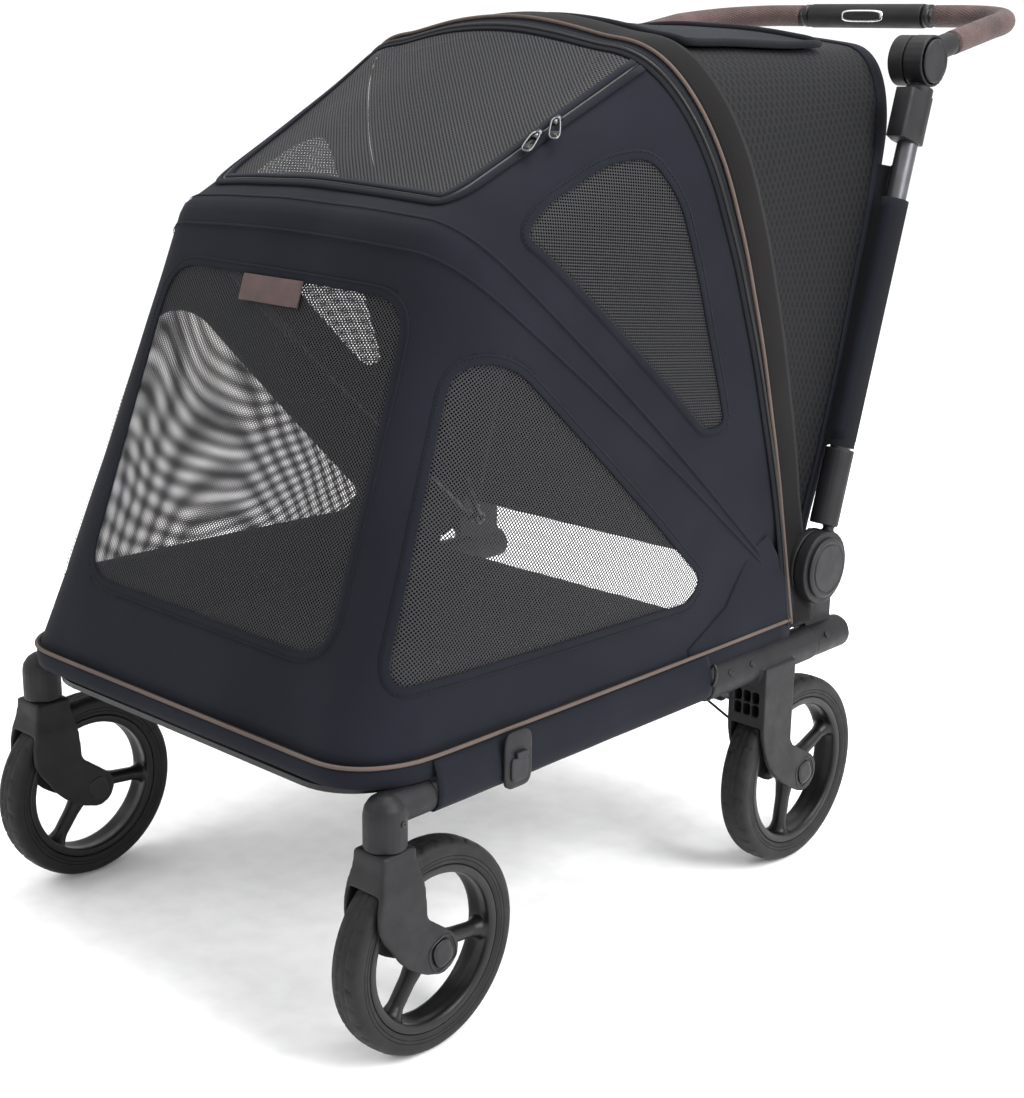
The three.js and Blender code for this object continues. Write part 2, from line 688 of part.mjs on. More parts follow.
// A sewn panel between two seams, from one column of points to another.
function panel(fromRow, toRow, fromColumn, toColumn) {
  const pick = (grid) =>
    insetGrid(grid.slice(fromRow, toRow + 1).map((row) => row.slice(fromColumn, toColumn + 1)));
  const outer = pick(OUTER);
  const inner = pick(INNER);
  const across = toColumn - fromColumn + 1;
  const lastRow = toRow - fromRow;
  const lastColumn = across - 1;
  const vertices = [...outer, ...inner].flat().flatMap((p) => [p.x, p.y, p.z]);
  const faces = [];
  const quad = (a, b, c, d) => faces.push(a, b, c, a, c, d);
  const out = (r, c) => r * across + c;
  const inn = (r, c) => (lastRow + 1 + r) * across + c;
  for (let r = 0; r < lastRow; r++)
    for (let c = 0; c < lastColumn; c++) {
      quad(out(r, c), out(r, c + 1), out(r + 1, c + 1), out(r + 1, c));
      quad(inn(r, c), inn(r + 1, c), inn(r + 1, c + 1), inn(r, c + 1));
    }
  for (let c = 0; c < lastColumn; c++) {
    quad(out(0, c), inn(0, c), inn(0, c + 1), out(0, c + 1));
    quad(out(lastRow, c), out(lastRow, c + 1), inn(lastRow, c + 1), inn(lastRow, c));
  }
  for (let r = 0; r < lastRow; r++) {
    quad(out(r, 0), out(r + 1, 0), inn(r + 1, 0), inn(r, 0));
    quad(out(r, lastColumn), inn(r, lastColumn), inn(r + 1, lastColumn), out(r + 1, lastColumn));
  }
  return new THREE.BufferGeometry()
    .setAttribute("position", new THREE.Float32BufferAttribute(vertices, 3))
    .setIndex(faces);
}

const SPAN = OUTER[0].length - 1;
const LEG_COLUMNS = { left: [0, LEG_STEPS], right: [SPAN - LEG_STEPS, SPAN] };
const MIDDLE_COLUMNS = [LEG_STEPS, SPAN - LEG_STEPS];

const HATCH = { halfWidth: 190, front: -165, back: 70 };
const hatchPrism = (shrink) =>
  box(
    2 * (HATCH.halfWidth - shrink),
    HATCH.back - HATCH.front - 2 * shrink,
    500,
    0,
    (HATCH.back + HATCH.front) / 2,
    950,
  );

part("canopy_front", panel(0, 1, ...MIDDLE_COLUMNS), MATERIAL.fabric);
const roof = toSolid(panel(1, 2, ...MIDDLE_COLUMNS));
part("canopy_roof", cut(roof, hatchPrism(0)), MATERIAL.fabric);
part("roof_hatch", roof.intersect(toSolid(hatchPrism(GAP))), MATERIAL.mesh);
for (const [side] of SIDES) {
  part(`canopy_side_${side}`, panel(0, 2, ...LEG_COLUMNS[side]), MATERIAL.fabric);
  part(`rear_mesh_${side}`, panel(2, 3, ...LEG_COLUMNS[side]), MATERIAL.mesh);
}

// The tail of the cabin: the arched top behind the mid hoop, and the wall that leans with the arms.
part("rear_top", panel(2, 3, ...MIDDLE_COLUMNS), MATERIAL.mesh);

function rearWall() {
  const outline = new THREE.Shape();
  OUTER[3].forEach((point, i) => {
    const x = point.x * 0.98;
    const y = (point.z - FOLD.z) * 0.985;
    if (i === 0) outline.moveTo(x, y);
    else outline.lineTo(x, y);
  });
  outline.closePath();
  return new THREE.ExtrudeGeometry(outline, { depth: FABRIC, bevelEnabled: false })
    .rotateX(Math.PI / 2)
    .applyMatrix4(new THREE.Matrix4().makeShear(0, 0, 0, 0, 0, Math.tan(ARM_LEAN)))
    .translate(0, FOLD.y - 6, FOLD.z);
}
part("rear_wall", rearWall(), MATERIAL.mesh);

// ---- Floor --------------------------------------------------------------------------------------
// A flat plan outline with round front corners.
function plan(half, front, back, radius) {
  const shape = new THREE.Shape();
  shape.moveTo(half, back);
  shape.lineTo(-half, back);
  shape.lineTo(-half, front + radius);
  shape.absarc(-half + radius, front + radius, radius, Math.PI, Math.PI * 1.5);
  shape.absarc(half - radius, front + radius, radius, Math.PI * 1.5, Math.PI * 2);
  shape.closePath();
  return shape;
}
const slabOf = (shape, z0, z1) =>
  new THREE.ExtrudeGeometry(shape, { depth: z1 - z0, bevelEnabled: false, curveSegments: 6 }).translate(0, 0, z0);

part("floor_board", slabOf(plan(275, -396, tail, 76), 283, 289), MATERIAL.rim);
part("floor_cushion", slabOf(plan(268, -384, tail - 14, 64), 290, 316), MATERIAL.fabric);
part(
  "tray_rim",
  cut(
    toSolid(slabOf(plan(305, -405, 318, 77), 303, rimZ - 2.5)),
    slabOf(plan(300, -400, 340, 72), 302, rimZ),
  ),
  MATERIAL.fabric,
);

// Storage latch on each side: a plate with a hook that catches the folded push frame.
function storageLatch(sign) {
  const shape = new THREE.Shape();
  shape.moveTo(-14, 0);
  shape.lineTo(14, 0);
  shape.lineTo(14, 46);
  shape.absarc(0, 46, 14, 0, Math.PI);
  shape.closePath();
  const hook = new THREE.Shape();
  hook.moveTo(0, 0);
  hook.lineTo(9, 6);
  hook.lineTo(7, 10);
  hook.lineTo(0, 10);
  hook.closePath();
  const plate = sidePlate(shape, 0, 4);
  const tongue = new THREE.ExtrudeGeometry(hook, { depth: 12, bevelEnabled: false })
    .rotateX(Math.PI / 2)
    .translate(3.5, 6, 24);
  const made = join(plate, tongue);
  return sign > 0 ? made : made.mirror([1, 0, 0]);
}
for (const [side, sign] of SIDES)
  part(`storage_latch_${side}`, storageLatch(sign), MATERIAL.plastic, [sign * 321, -205, 290]);

export default root;
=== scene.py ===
import math

import bmesh
import bpy
import numpy as np
from mathutils import Matrix, Vector, geometry, noise


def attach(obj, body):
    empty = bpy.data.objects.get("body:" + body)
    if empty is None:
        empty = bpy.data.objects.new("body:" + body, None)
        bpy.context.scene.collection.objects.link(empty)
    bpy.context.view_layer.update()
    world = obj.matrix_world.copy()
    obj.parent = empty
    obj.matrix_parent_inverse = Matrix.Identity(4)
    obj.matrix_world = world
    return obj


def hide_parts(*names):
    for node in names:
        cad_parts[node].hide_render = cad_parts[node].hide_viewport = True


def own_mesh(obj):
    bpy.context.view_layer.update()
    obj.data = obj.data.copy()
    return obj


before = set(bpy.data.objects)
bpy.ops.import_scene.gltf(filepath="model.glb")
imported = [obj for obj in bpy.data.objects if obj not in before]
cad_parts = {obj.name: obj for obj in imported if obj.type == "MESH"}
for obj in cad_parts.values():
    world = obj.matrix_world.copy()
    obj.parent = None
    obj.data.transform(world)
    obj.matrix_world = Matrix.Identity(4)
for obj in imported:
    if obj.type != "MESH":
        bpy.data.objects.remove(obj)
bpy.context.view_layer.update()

# Metres, in the CAD frame: +Z up, nose along -Y, handle along +Y. The chassis is drawn about the
# middle of its wheelbase, which lies at SHIFT_Y in that frame.
SHIFT_Y = -0.226
TRACK = 0.298
AXLE_Y = 0.321
FRONT_R, REAR_R = 0.115, 0.120
STEM_Y = -0.374
RAIL_Z = 0.280
RIM_Z = 0.322
TAIL_Y = 0.300
HALF_WIDTH = 0.303
FOLD_Y, FOLD_Z = 0.358, 0.378
ARM_LEAN = math.radians(16.6)
ARM_LENGTH = 0.632
PIVOT_Y, PIVOT_Z = 0.335, 0.338
FRONT_ANGLE, MID_ANGLE = math.radians(41.3), math.radians(71)
HANDLE_Y, HANDLE_Z = 0.872, 1.040
HANDLE_X = 0.272
SIDES = (("left", -1), ("right", 1))


def at(x, y, z):
    """A chassis point in the CAD frame."""
    return Vector((x, y + SHIFT_Y, z))


# ---- Materials ----------------------------------------------------------------------------------
class Nodes:
    """A short way to write a material's node tree."""

    def __init__(self, name):
        self.material = bpy.data.materials.new(name)
        self.material.use_nodes = True
        self.tree = self.material.node_tree
        self.shader = self.tree.nodes["Principled BSDF"]
        self.out = self.tree.nodes["Material Output"]

    def add(self, kind, inputs=None, **settings):
        node = self.tree.nodes.new(kind)
        for key, value in settings.items():
            setattr(node, key, value)
        for key, value in (inputs or {}).items():
            if isinstance(value, bpy.types.NodeSocket):
                self.tree.links.new(value, node.inputs[key])
            else:
                node.inputs[key].default_value = value
        return node

    def link(self, a, b):
        self.tree.links.new(a, b)

    def math(self, operation, a, b=0.0):
        return self.add("ShaderNodeMath", {0: a, 1: b}, operation=operation).outputs[0]

    def ramp(self, factor, low, high, low_value=0.0, high_value=1.0):
        return self.add(
            "ShaderNodeMapRange",
            {"Value": factor, "From Min": low, "From Max": high, "To Min": low_value, "To Max": high_value},
        ).outputs[0]

    def colours(self, factor, first, second):
        mix = self.add("ShaderNodeMix", data_type="RGBA")
        mix.inputs[6].default_value = (*first, 1)
        mix.inputs[7].default_value = (*second, 1)
        self.link(factor, mix.inputs[0])
        return mix.outputs[2]

    def noise(self, scale, detail=3.0, vector=None):
        node = self.add("ShaderNodeTexNoise", {"Scale": scale, "Detail": detail})
        self.link(vector or self.place(), node.inputs["Vector"])
        return node.outputs["Fac"]

    def place(self):
        return self.add("ShaderNodeTexCoord").outputs["Object"]

    def uv(self):
        return self.add("ShaderNodeTexCoord").outputs["UV"]

    def bump(self, height, strength, distance):
        node = self.add("ShaderNodeBump", {"Height": height, "Strength": strength, "Distance": distance})
        self.link(node.outputs[0], self.shader.inputs["Normal"])

    def split(self, vector):
        return self.add("ShaderNodeSeparateXYZ", {0: vector}).outputs


def sine(n, value, pitch):
    """A sine of a length in metres, from 0 to 1."""
    turn = n.math("SINE", n.math("MULTIPLY", value, 2 * math.pi / pitch))
    return n.math("ADD", n.math("MULTIPLY", turn, 0.5), 0.5)


def cloth_material(name, first, second, pitch=0.0011, roughness=0.9, sheen=0.03, depth=0.00018):
    n = Nodes(name)
    x, y, _ = n.split(n.uv())
    warp, weft = sine(n, x, pitch), sine(n, y, pitch)
    weave = n.math("MAXIMUM", warp, weft)
    blotch = n.noise(9.0, 4.0)
    thread = n.math("ADD", n.math("MULTIPLY", weave, 0.45), n.math("MULTIPLY", blotch, 0.55))
    n.link(n.colours(n.ramp(thread, 0.3, 0.8), first, second), n.shader.inputs["Base Color"])
    crease = n.math("MULTIPLY", n.noise(16.0, 3.0), 6.0)
    n.bump(n.math("ADD", weave, crease), 0.7, depth)
    n.shader.inputs["Roughness"].default_value = roughness
    n.shader.inputs["Sheen Weight"].default_value = sheen
    n.shader.inputs["Sheen Roughness"].default_value = 0.45
    n.shader.inputs["Specular IOR Level"].default_value = 0.10
    return n.material


def open_mesh_material(name, first, second, pitch, opening, roughness=0.6, row=1.0):
    """Knitted mesh: threads of diffuse cloth with clear holes between them."""
    n = Nodes(name)
    x, y, _ = n.split(n.uv())
    a = n.math("ADD", n.math("MULTIPLY", x, row), y)
    b = n.math("SUBTRACT", n.math("MULTIPLY", x, row), y)
    holes = n.math("MULTIPLY", sine(n, a, pitch * 1.42), sine(n, b, pitch * 1.42))
    alpha = n.ramp(holes, opening - 0.06, opening + 0.06, 1.0, 0.0)
    n.link(alpha, n.shader.inputs["Alpha"])
    n.link(n.colours(n.ramp(holes, 0.0, opening), second, first), n.shader.inputs["Base Color"])
    n.bump(n.math("SUBTRACT", 1.0, holes), 0.8, 0.0004)
    n.shader.inputs["Roughness"].default_value = roughness
    n.shader.inputs["Specular IOR Level"].default_value = 0.2
    return n.material


def air_mesh_material(name):
    """Spacer mesh: a raised lattice round staggered oval cells, over a dark backing; the near-black in the
    cells is partly the backing's own colour and partly painted shade of their depth.
    """
    n = Nodes(name)
    x, y, _ = n.split(n.uv())
    a = n.math("ADD", n.math("MULTIPLY", x, 0.62), y)
    b = n.math("SUBTRACT", n.math("MULTIPLY", x, 0.62), y)
    cells = n.math("MULTIPLY", sine(n, a, 0.0112), sine(n, b, 0.0112))
    net = n.ramp(cells, 0.26, 0.42, 1.0, 0.0)
    fine = n.noise(900.0, 2.0)
    # Painted shade: the cells get near-black, the backing's own dark colour deepened to stand for the shade
    # inside the deep cells.
    n.link(n.colours(n.ramp(net, 0.1, 0.9), (0.0003, 0.0003, 0.0004), (0.0042, 0.0044, 0.0060)),
           n.shader.inputs["Base Color"])
    n.bump(n.math("ADD", net, n.math("MULTIPLY", fine, 0.12)), 1.0, 0.0016)
    n.shader.inputs["Roughness"].default_value = 0.75
    n.shader.inputs["Specular IOR Level"].default_value = 0.2
    return n.material


def moulded_material(name, colour, roughness, grain=0.00006, coat=0.0, metallic=0.0):
    n = Nodes(name)
    lift = tuple(min(1.0, c * 1.35 + 0.002) for c in colour)
    patch = n.noise(28.0, 4.0)
    n.link(n.colours(n.ramp(patch, 0.35, 0.7), colour, lift), n.shader.inputs["Base Color"])
    n.link(n.ramp(n.noise(60.0, 3.0), 0.3, 0.7, roughness - 0.06, roughness + 0.08),
           n.shader.inputs["Roughness"])
    n.bump(n.noise(1500.0, 2.0), 0.5, grain)
    n.shader.inputs["Coat Weight"].default_value = coat
    n.shader.inputs["Coat Roughness"].default_value = 0.25
    n.shader.inputs["Metallic"].default_value = metallic
    n.shader.inputs["Specular IOR Level"].default_value = 0.24
    return n.material


def leather_material(name, braid=0.0):
    n = Nodes(name)
    grain = n.add("ShaderNodeTexVoronoi", {"Scale": 620.0}).outputs["Distance"]
    worn = n.noise(30.0, 4.0)
    n.link(n.colours(n.ramp(worn, 0.3, 0.75), (0.030, 0.015, 0.014), (0.074, 0.040, 0.037)),
           n.shader.inputs["Base Color"])
    height = n.math("MULTIPLY", grain, 0.5)
    if braid:
        x, y, _ = n.split(n.uv())
        a = sine(n, n.math("ADD", x, y), braid)
        b = sine(n, n.math("SUBTRACT", x, y), braid)
        height = n.math("ADD", height, n.math("MULTIPLY", n.math("MAXIMUM", a, b), 2.0))
    n.bump(height, 0.8, 0.00045)
    n.shader.inputs["Roughness"].default_value = 0.52
    n.shader.inputs["Specular IOR Level"].default_value = 0.4
    return n.material


CLOTH = cloth_material("navy_cloth", (0.0042, 0.0047, 0.0074), (0.0092, 0.0102, 0.0152))
BAND = cloth_material("band_cloth", (0.0025, 0.0023, 0.0025), (0.0075, 0.0066, 0.0069), pitch=0.0019)
PIPING = cloth_material("taupe_piping", (0.060, 0.045, 0.039), (0.110, 0.084, 0.073), pitch=0.0012)
TAPE = cloth_material("zip_tape", (0.004, 0.0043, 0.0055), (0.010, 0.0105, 0.013), pitch=0.0014)
CUSHION = cloth_material("cushion_cloth", (0.006, 0.0065, 0.008), (0.014, 0.015, 0.018), pitch=0.0016)
WINDOW = open_mesh_material("window_mesh", (0.0035, 0.0035, 0.0042), (0.018, 0.018, 0.020), 0.0032, 0.32)
ROOF = open_mesh_material("roof_mesh", (0.005, 0.005, 0.006), (0.023, 0.023, 0.025), 0.0036, 0.54)
AIR = air_mesh_material("air_mesh")
PLASTIC = moulded_material("moulded_nylon", (0.0050, 0.0048, 0.0058), 0.54)
DISC = moulded_material("hinge_disc", (0.0085, 0.0084, 0.0098), 0.50)
GLOSS = moulded_material("gloss_nylon", (0.006, 0.006, 0.0065), 0.34)
RIM = moulded_material("wheel_rim", (0.0045, 0.0045, 0.005), 0.36)
TYRE = moulded_material("tyre_rubber", (0.0048, 0.0046, 0.0049), 0.60, grain=0.0001)
TUBE = moulded_material("anodised_tube", (0.075, 0.075, 0.080), 0.34, metallic=0.75)
STEEL = moulded_material("zip_steel", (0.085, 0.085, 0.09), 0.30, metallic=1.0)
SILVER = moulded_material("bright_trim", (0.62, 0.62, 0.64), 0.22, metallic=1.0)
LEATHER = leather_material("brown_leather")
BRAID = leather_material("braided_leather", braid=0.009)


# ---- Mesh helpers -------------------------------------------------------------------------------
def make(name, points, faces, material, body="chassis", slot=None, smooth=True, uvs=None):
    mesh = bpy.data.meshes.new(name)
    mesh.from_pydata([tuple(p) for p in points], [], [tuple(f) for f in faces])
    mesh.validate()
    obj = bpy.data.objects.new(name, mesh)
    bpy.context.collection.objects.link(obj)
    mesh.materials.append(material)
    if uvs is not None:
        layer = mesh.uv_layers.new(name="UVMap")
        for loop in mesh.loops:
            layer.data[loop.index].uv = uvs[loop.vertex_index]
    if smooth:
        mesh.shade_smooth()
    else:
        mesh.shade_flat()
    if body:
        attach(obj, body)
    return obj


def applied(obj):
    """Turns an object's modifiers into plain mesh."""
    bpy.context.view_layer.update()
    evaluated = obj.evaluated_get(bpy.context.evaluated_depsgraph_get())
    mesh = bpy.data.meshes.new_from_object(evaluated)
    obj.modifiers.clear()
    obj.data = mesh
    return obj


def thickened(obj, thickness, offset):
    solid = obj.modifiers.new("thickness", "SOLIDIFY")
    solid.thickness = thickness
    solid.offset = offset
    applied(obj)
    obj.data.shade_smooth()
    return obj


def voxel_rounded(obj, voxel, rounds):
    """Remeshes a shape finely and smooths its edges as a mould leaves them."""
    remesh = obj.modifiers.new("remesh", "REMESH")
    remesh.mode = "VOXEL"
    remesh.voxel_size = voxel
    smooth = obj.modifiers.new("smooth", "SMOOTH")
    smooth.factor = 0.5
    smooth.iterations = rounds
    return applied(obj)


def cleaned(obj, short_edge=0.0, outward=True):
    """Drops doubled points and edges shorter than short_edge, and turns faces outward."""
    mesh = bmesh.new()
    mesh.from_mesh(obj.data)
    if short_edge:
        bmesh.ops.remove_doubles(mesh, verts=mesh.verts, dist=1e-6)
        bmesh.ops.dissolve_degenerate(mesh, edges=mesh.edges, dist=short_edge)
    if outward:
        bmesh.ops.recalc_face_normals(mesh, faces=mesh.faces)
    mesh.to_mesh(obj.data)
    mesh.free()


def edge_rounded(obj, width):
    bevel = obj.modifiers.new("bevel", "BEVEL")
    bevel.width = width
    bevel.segments = 2
    bevel.limit_method = "ANGLE"
    bevel.angle_limit = math.radians(30)
    obj.data.shade_smooth()
    applied(obj)
    obj.data.set_sharp_from_angle(angle=math.radians(40))
    return obj


def frames_along(points, closed=False):
    """Tangents, and normals carried along without twist."""
    count = len(points)
    tangents = []
    for i in range(count):
        before = points[(i - 1) % count] if closed else points[max(i - 1, 0)]
        after = points[(i + 1) % count] if closed else points[min(i + 1, count - 1)]
        tangents.append((after - before).normalized())
    side = tangents[0].orthogonal().normalized()
    normals = []
    for t in tangents:
        side = (side - t * side.dot(t)).normalized()
        normals.append(side.copy())
    return tangents, normals


def joined(rows, rim, closed=False):
    """Quads between successive rings of rim points; closed joins the last ring to the first."""
    faces = []
    for i in range(rows if closed else rows - 1):
        j = (i + 1) % rows
        for k in range(rim):
            m = (k + 1) % rim
            faces.append((i * rim + k, i * rim + m, j * rim + m, j * rim + k))
    return faces


def end_caps(rows, rim):
    """The faces that close the first and the last ring."""
    return [tuple(range(rim))[::-1], tuple((rows - 1) * rim + k for k in range(rim))]


def turned(faces):
    """The same quads facing the other way, each from its own first point."""
    return [(a, d, c, b) for a, b, c, d in faces]


def sweep(points, profile, normals=None, closed=False):
    """Sweeps a closed profile of (side, height) points; returns points, faces and uvs."""
    tangents, carried = frames_along(points, closed)
    normals = normals or carried
    rim = len(profile)
    out, uvs, run = [], [], 0.0
    for i, (p, t) in enumerate(zip(points, tangents)):
        if i:
            run += (p - points[i - 1]).length
        up = (normals[i] - t * normals[i].dot(t)).normalized()
        side = t.cross(up)
        for k, (a, b) in enumerate(profile):
            out.append(p + side * a + up * b)
            uvs.append((run, k * 0.006))
    faces = joined(len(points), rim, closed)
    if not closed:
        faces += end_caps(len(points), rim)
    return out, faces, uvs


def ring(radius, sides=12, squash=1.0):
    turn = 2 * math.pi / sides
    return [(radius * math.cos(k * turn), radius * squash * math.sin(k * turn)) for k in range(sides)]


def strip(width, height, crown=0.0):
    """The section of a flat tape with soft edges."""
    w, h = width / 2, height
    return [(w, -0.0004), (w, h * 0.5), (w * 0.8, h), (0, h + crown), (-w * 0.8, h), (-w, h * 0.5),
            (-w, -0.0004)]


def tube(name, points, radius, material, body="chassis", slot=None, sides=20, closed=False):
    out, faces, uvs = sweep(points, ring(radius, sides), closed=closed)
    return make(name, out, faces, material, body, slot, uvs=uvs)


def smooth_path(corners, steps=12):
    """A Catmull-Rom curve through the corners."""
    ends = [corners[0] * 2 - corners[1], *corners, corners[-1] * 2 - corners[-2]]
    path = []
    for i in range(1, len(ends) - 2):
        a, b, c, d = ends[i - 1 : i + 3]
        for s in range(steps):
            t = s / steps
            path.append(
                0.5 * (2 * b + (c - a) * t + (2 * a - 5 * b + 4 * c - d) * t**2 + (3 * b - a - 3 * c + d)
                       * t**3)
            )
    path.append(corners[-1].copy())
    return path


def lathe(name, profile, centre, axis_sign, material, body, slot=None, segments=64, shape=None):
    """Turns (x, radius) points about the X axis; ends on the axis close themselves."""
    out, faces = [], []
    for i in range(segments):
        angle = 2 * math.pi * i / segments
        for x, r in profile:
            radius = shape(angle, x, r) if shape else r
            out.append(centre + Vector((axis_sign * x, radius * math.sin(angle), radius * math.cos(angle))))
    rim = len(profile)
    for i in range(segments):
        j = (i + 1) % segments
        for k in range(rim - 1):
            face = (i * rim + k, j * rim + k, j * rim + k + 1, i * rim + k + 1)
            faces.append(face if axis_sign > 0 else face[::-1])
    obj = make(name, out, faces, material, body, slot)
    cleaned(obj, 1e-7)
    obj.data.shade_smooth()
    obj.data.set_sharp_from_angle(angle=math.radians(38))
    return obj


def softened(node, material, body, voxel=0.0013, rounds=5):
    """A moulded piece: the CAD solid with its edges rounded as a mould leaves them."""
    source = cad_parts[node]
    obj = bpy.data.objects.new(f"{node}_moulding", source.data.copy())
    bpy.context.collection.objects.link(obj)
    obj.matrix_world = source.matrix_world.copy()
    voxel_rounded(obj, voxel, rounds)
    obj.data.materials.clear()
    obj.data.materials.append(material)
    obj.data.shade_smooth()
    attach(obj, body)
    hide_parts(node)
    return obj


def screw(name, centre, normal, radius, body):
    """A countersunk screw head with a hexagonal recess."""
    segments, out = 30, []
    rings = ((radius, 0.0), (radius, 0.0008), (radius * 0.82, 0.0013), (radius * 0.5, 0.0013),
             (radius * 0.46, -0.0004))
    normal = normal.normalized()
    a = normal.orthogonal().normalized()
    b = normal.cross(a)
    for r, h in rings:
        for i in range(segments):
            angle = 2 * math.pi * i / segments
            hexagon = 1.0 - 0.08 * abs(math.sin(3 * angle)) if r < radius * 0.6 else 1.0
            out.append(centre + (a * math.cos(angle) + b * math.sin(angle)) * r * hexagon + normal * h)
    faces = joined(len(rings), segments) + end_caps(len(rings), segments)[::-1]
    return make(name, out, faces, GLOSS, body, "steel")


# ---- Wheels -------------------------------------------------------------------------------------
def tyre_profile(radius):
    """(x, radius) points round one tyre section, with fine moulded rings on both walls."""
    points = [(-0.0165, radius - 0.0245), (-0.0182, radius - 0.0222)]
    wall = []
    for depth in (0.0205, 0.0165):
        wall += [(0.0186, depth), (0.0186, depth - 0.0007), (0.0178, depth - 0.0010),
                 (0.0187, depth - 0.0013)]
    points += [(-x, radius - depth) for x, depth in wall]
    for i in range(25):
        angle = math.pi * i / 24
        x = -0.019 * math.copysign(abs(math.cos(angle)) ** 0.75, math.cos(angle))
        points.append((x, radius - 0.0135 + 0.0135 * math.sin(angle) ** 0.6))
    points += [(x, radius - depth) for x, depth in wall[::-1]]
    return [*points, (0.0182, radius - 0.0222), (0.0165, radius - 0.0245), (-0.0165, radius - 0.0245)]


def tread(radius):
    """Short angled cuts and two rings on the crown of a tyre."""

    def shape(angle, x, r):
        share = abs(x) / 0.019
        if r < radius - 0.006 or share > 0.86:
            return r
        phase = (angle * 17 / math.pi + (0.5 if x > 0 else 0.0) + share * 0.5) % 1.0
        cut = phase < 0.13 and 0.3 < share < 0.8
        groove = 0.2 < share < 0.32
        return r - (0.0013 if cut or groove else 0.0)

    return shape


SPOKES = {"front": (353, 113, 233), "rear": (22, 142, 262)}


def wheel(prefix, side, sign, y, radius, body):
    centre = at(sign * TRACK, y, radius)
    obj = lathe(f"{prefix}_tyre_{side}_moulded", tyre_profile(radius), centre, 1, TYRE, body, "tyre",
                segments=300, shape=tread(radius))
    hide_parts(f"{prefix}_tyre_{side}")
    outer = radius - 0.0248
    parts = [
        spun([(-0.0165, outer), (0.0165, outer), (0.0175, outer - 0.001), (0.0165, outer - 0.009),
              (0.012, outer - 0.0105), (0.0, outer - 0.0078), (-0.012, outer - 0.0105),
              (-0.0165, outer - 0.009), (-0.0175, outer - 0.001), (-0.0165, outer)], 96),
        spun([(-0.0195, 0.0058), (-0.0195, 0.0155), (-0.015, 0.019), (0.015, 0.019), (0.0195, 0.0155),
              (0.0195, 0.0058), (-0.0195, 0.0058)], 64),
    ]
    for degrees in SPOKES[prefix]:
        angle = math.radians(degrees)
        out = Vector((0, math.cos(angle), math.sin(angle)))
        reach = outer - 0.007
        stations = ((0.012, 0.0125), (0.025, 0.0105), (0.04, 0.0088), (reach - 0.016, 0.0085),
                    (reach - 0.008, 0.0105), (reach - 0.002, 0.0135), (reach, 0.014))
        parts.append(spoke(out, stations))
    rim = remeshed(f"{prefix}_rim_{side}_moulded", parts, RIM, body, 0.0015, 5, centre)
    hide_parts(f"{prefix}_rim_{side}")


def spun(profile, segments):
    """Turns a closed (x, radius) profile, whose last point repeats its first, about the X axis."""
    out = []
    for i in range(segments):
        angle = 2 * math.pi * i / segments
        out += [Vector((x, r * math.sin(angle), r * math.cos(angle))) for x, r in profile[:-1]]
    return out, turned(joined(segments, len(profile) - 1, closed=True))


def spoke(direction, stations, sides=20):
    """A round arm along direction whose thickness follows (distance, radius) stations."""
    across = Vector((1, 0, 0))
    other = direction.cross(across)
    out = []
    for distance, r in stations:
        for k in range(sides):
            angle = 2 * math.pi * k / sides
            out.append(direction * distance + across * r * 1.05 * math.cos(angle) + other * r
                       * math.sin(angle))
    return out, joined(len(stations), sides) + end_caps(len(stations), sides)


def remeshed(name, parts, material, body, voxel, rounds, centre=Vector((0, 0, 0))):
    """Joins overlapping closed shapes into one moulding with soft inside corners."""
    out, faces = [], []
    for points, polygons in parts:
        base = len(out)
        out += [p + centre for p in points]
        faces += [tuple(i + base for i in f) for f in polygons]
    obj = make(name, out, faces, material, body=None)
    cleaned(obj)
    voxel_rounded(obj, voxel, rounds)
    obj.data.shade_smooth()
    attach(obj, body)
    return obj


def superellipse(half_y, half_z, power, segments=56):
    """Points round a rounded rectangle in the YZ plane."""
    points = []
    for i in range(segments):
        c, s = math.cos(2 * math.pi * i / segments), math.sin(2 * math.pi * i / segments)
        points.append(Vector((0, half_y * math.copysign(abs(c) ** (2 / power), c),
                              half_z * math.copysign(abs(s) ** (2 / power), s))))
    return points


def lozenge(name, centre, sign, half_y, half_z, tilt, x0, x1, material, body, slot, power=3.0):
    """A rounded-rectangle button between two x offsets, with a soft front edge."""
    rings = ((x0, 1.0), (x1 - 0.0008, 1.0), (x1 - 0.0002, 0.96), (x1, 0.86), (x1 - 0.0003, 0.4))
    segments, out = 56, []
    turn = Matrix.Rotation(tilt, 3, "X")
    for x, scale in rings:
        edge = superellipse(half_y * scale, half_z * scale, power, segments)
        out += [centre + turn @ (p + Vector((sign * x, 0, 0))) for p in edge]
    faces = joined(len(rings), segments) + end_caps(len(rings), segments)[::-1]
    if sign < 0:
        faces = [face[::-1] for face in faces]
    return make(name, out, faces, material, body, slot)


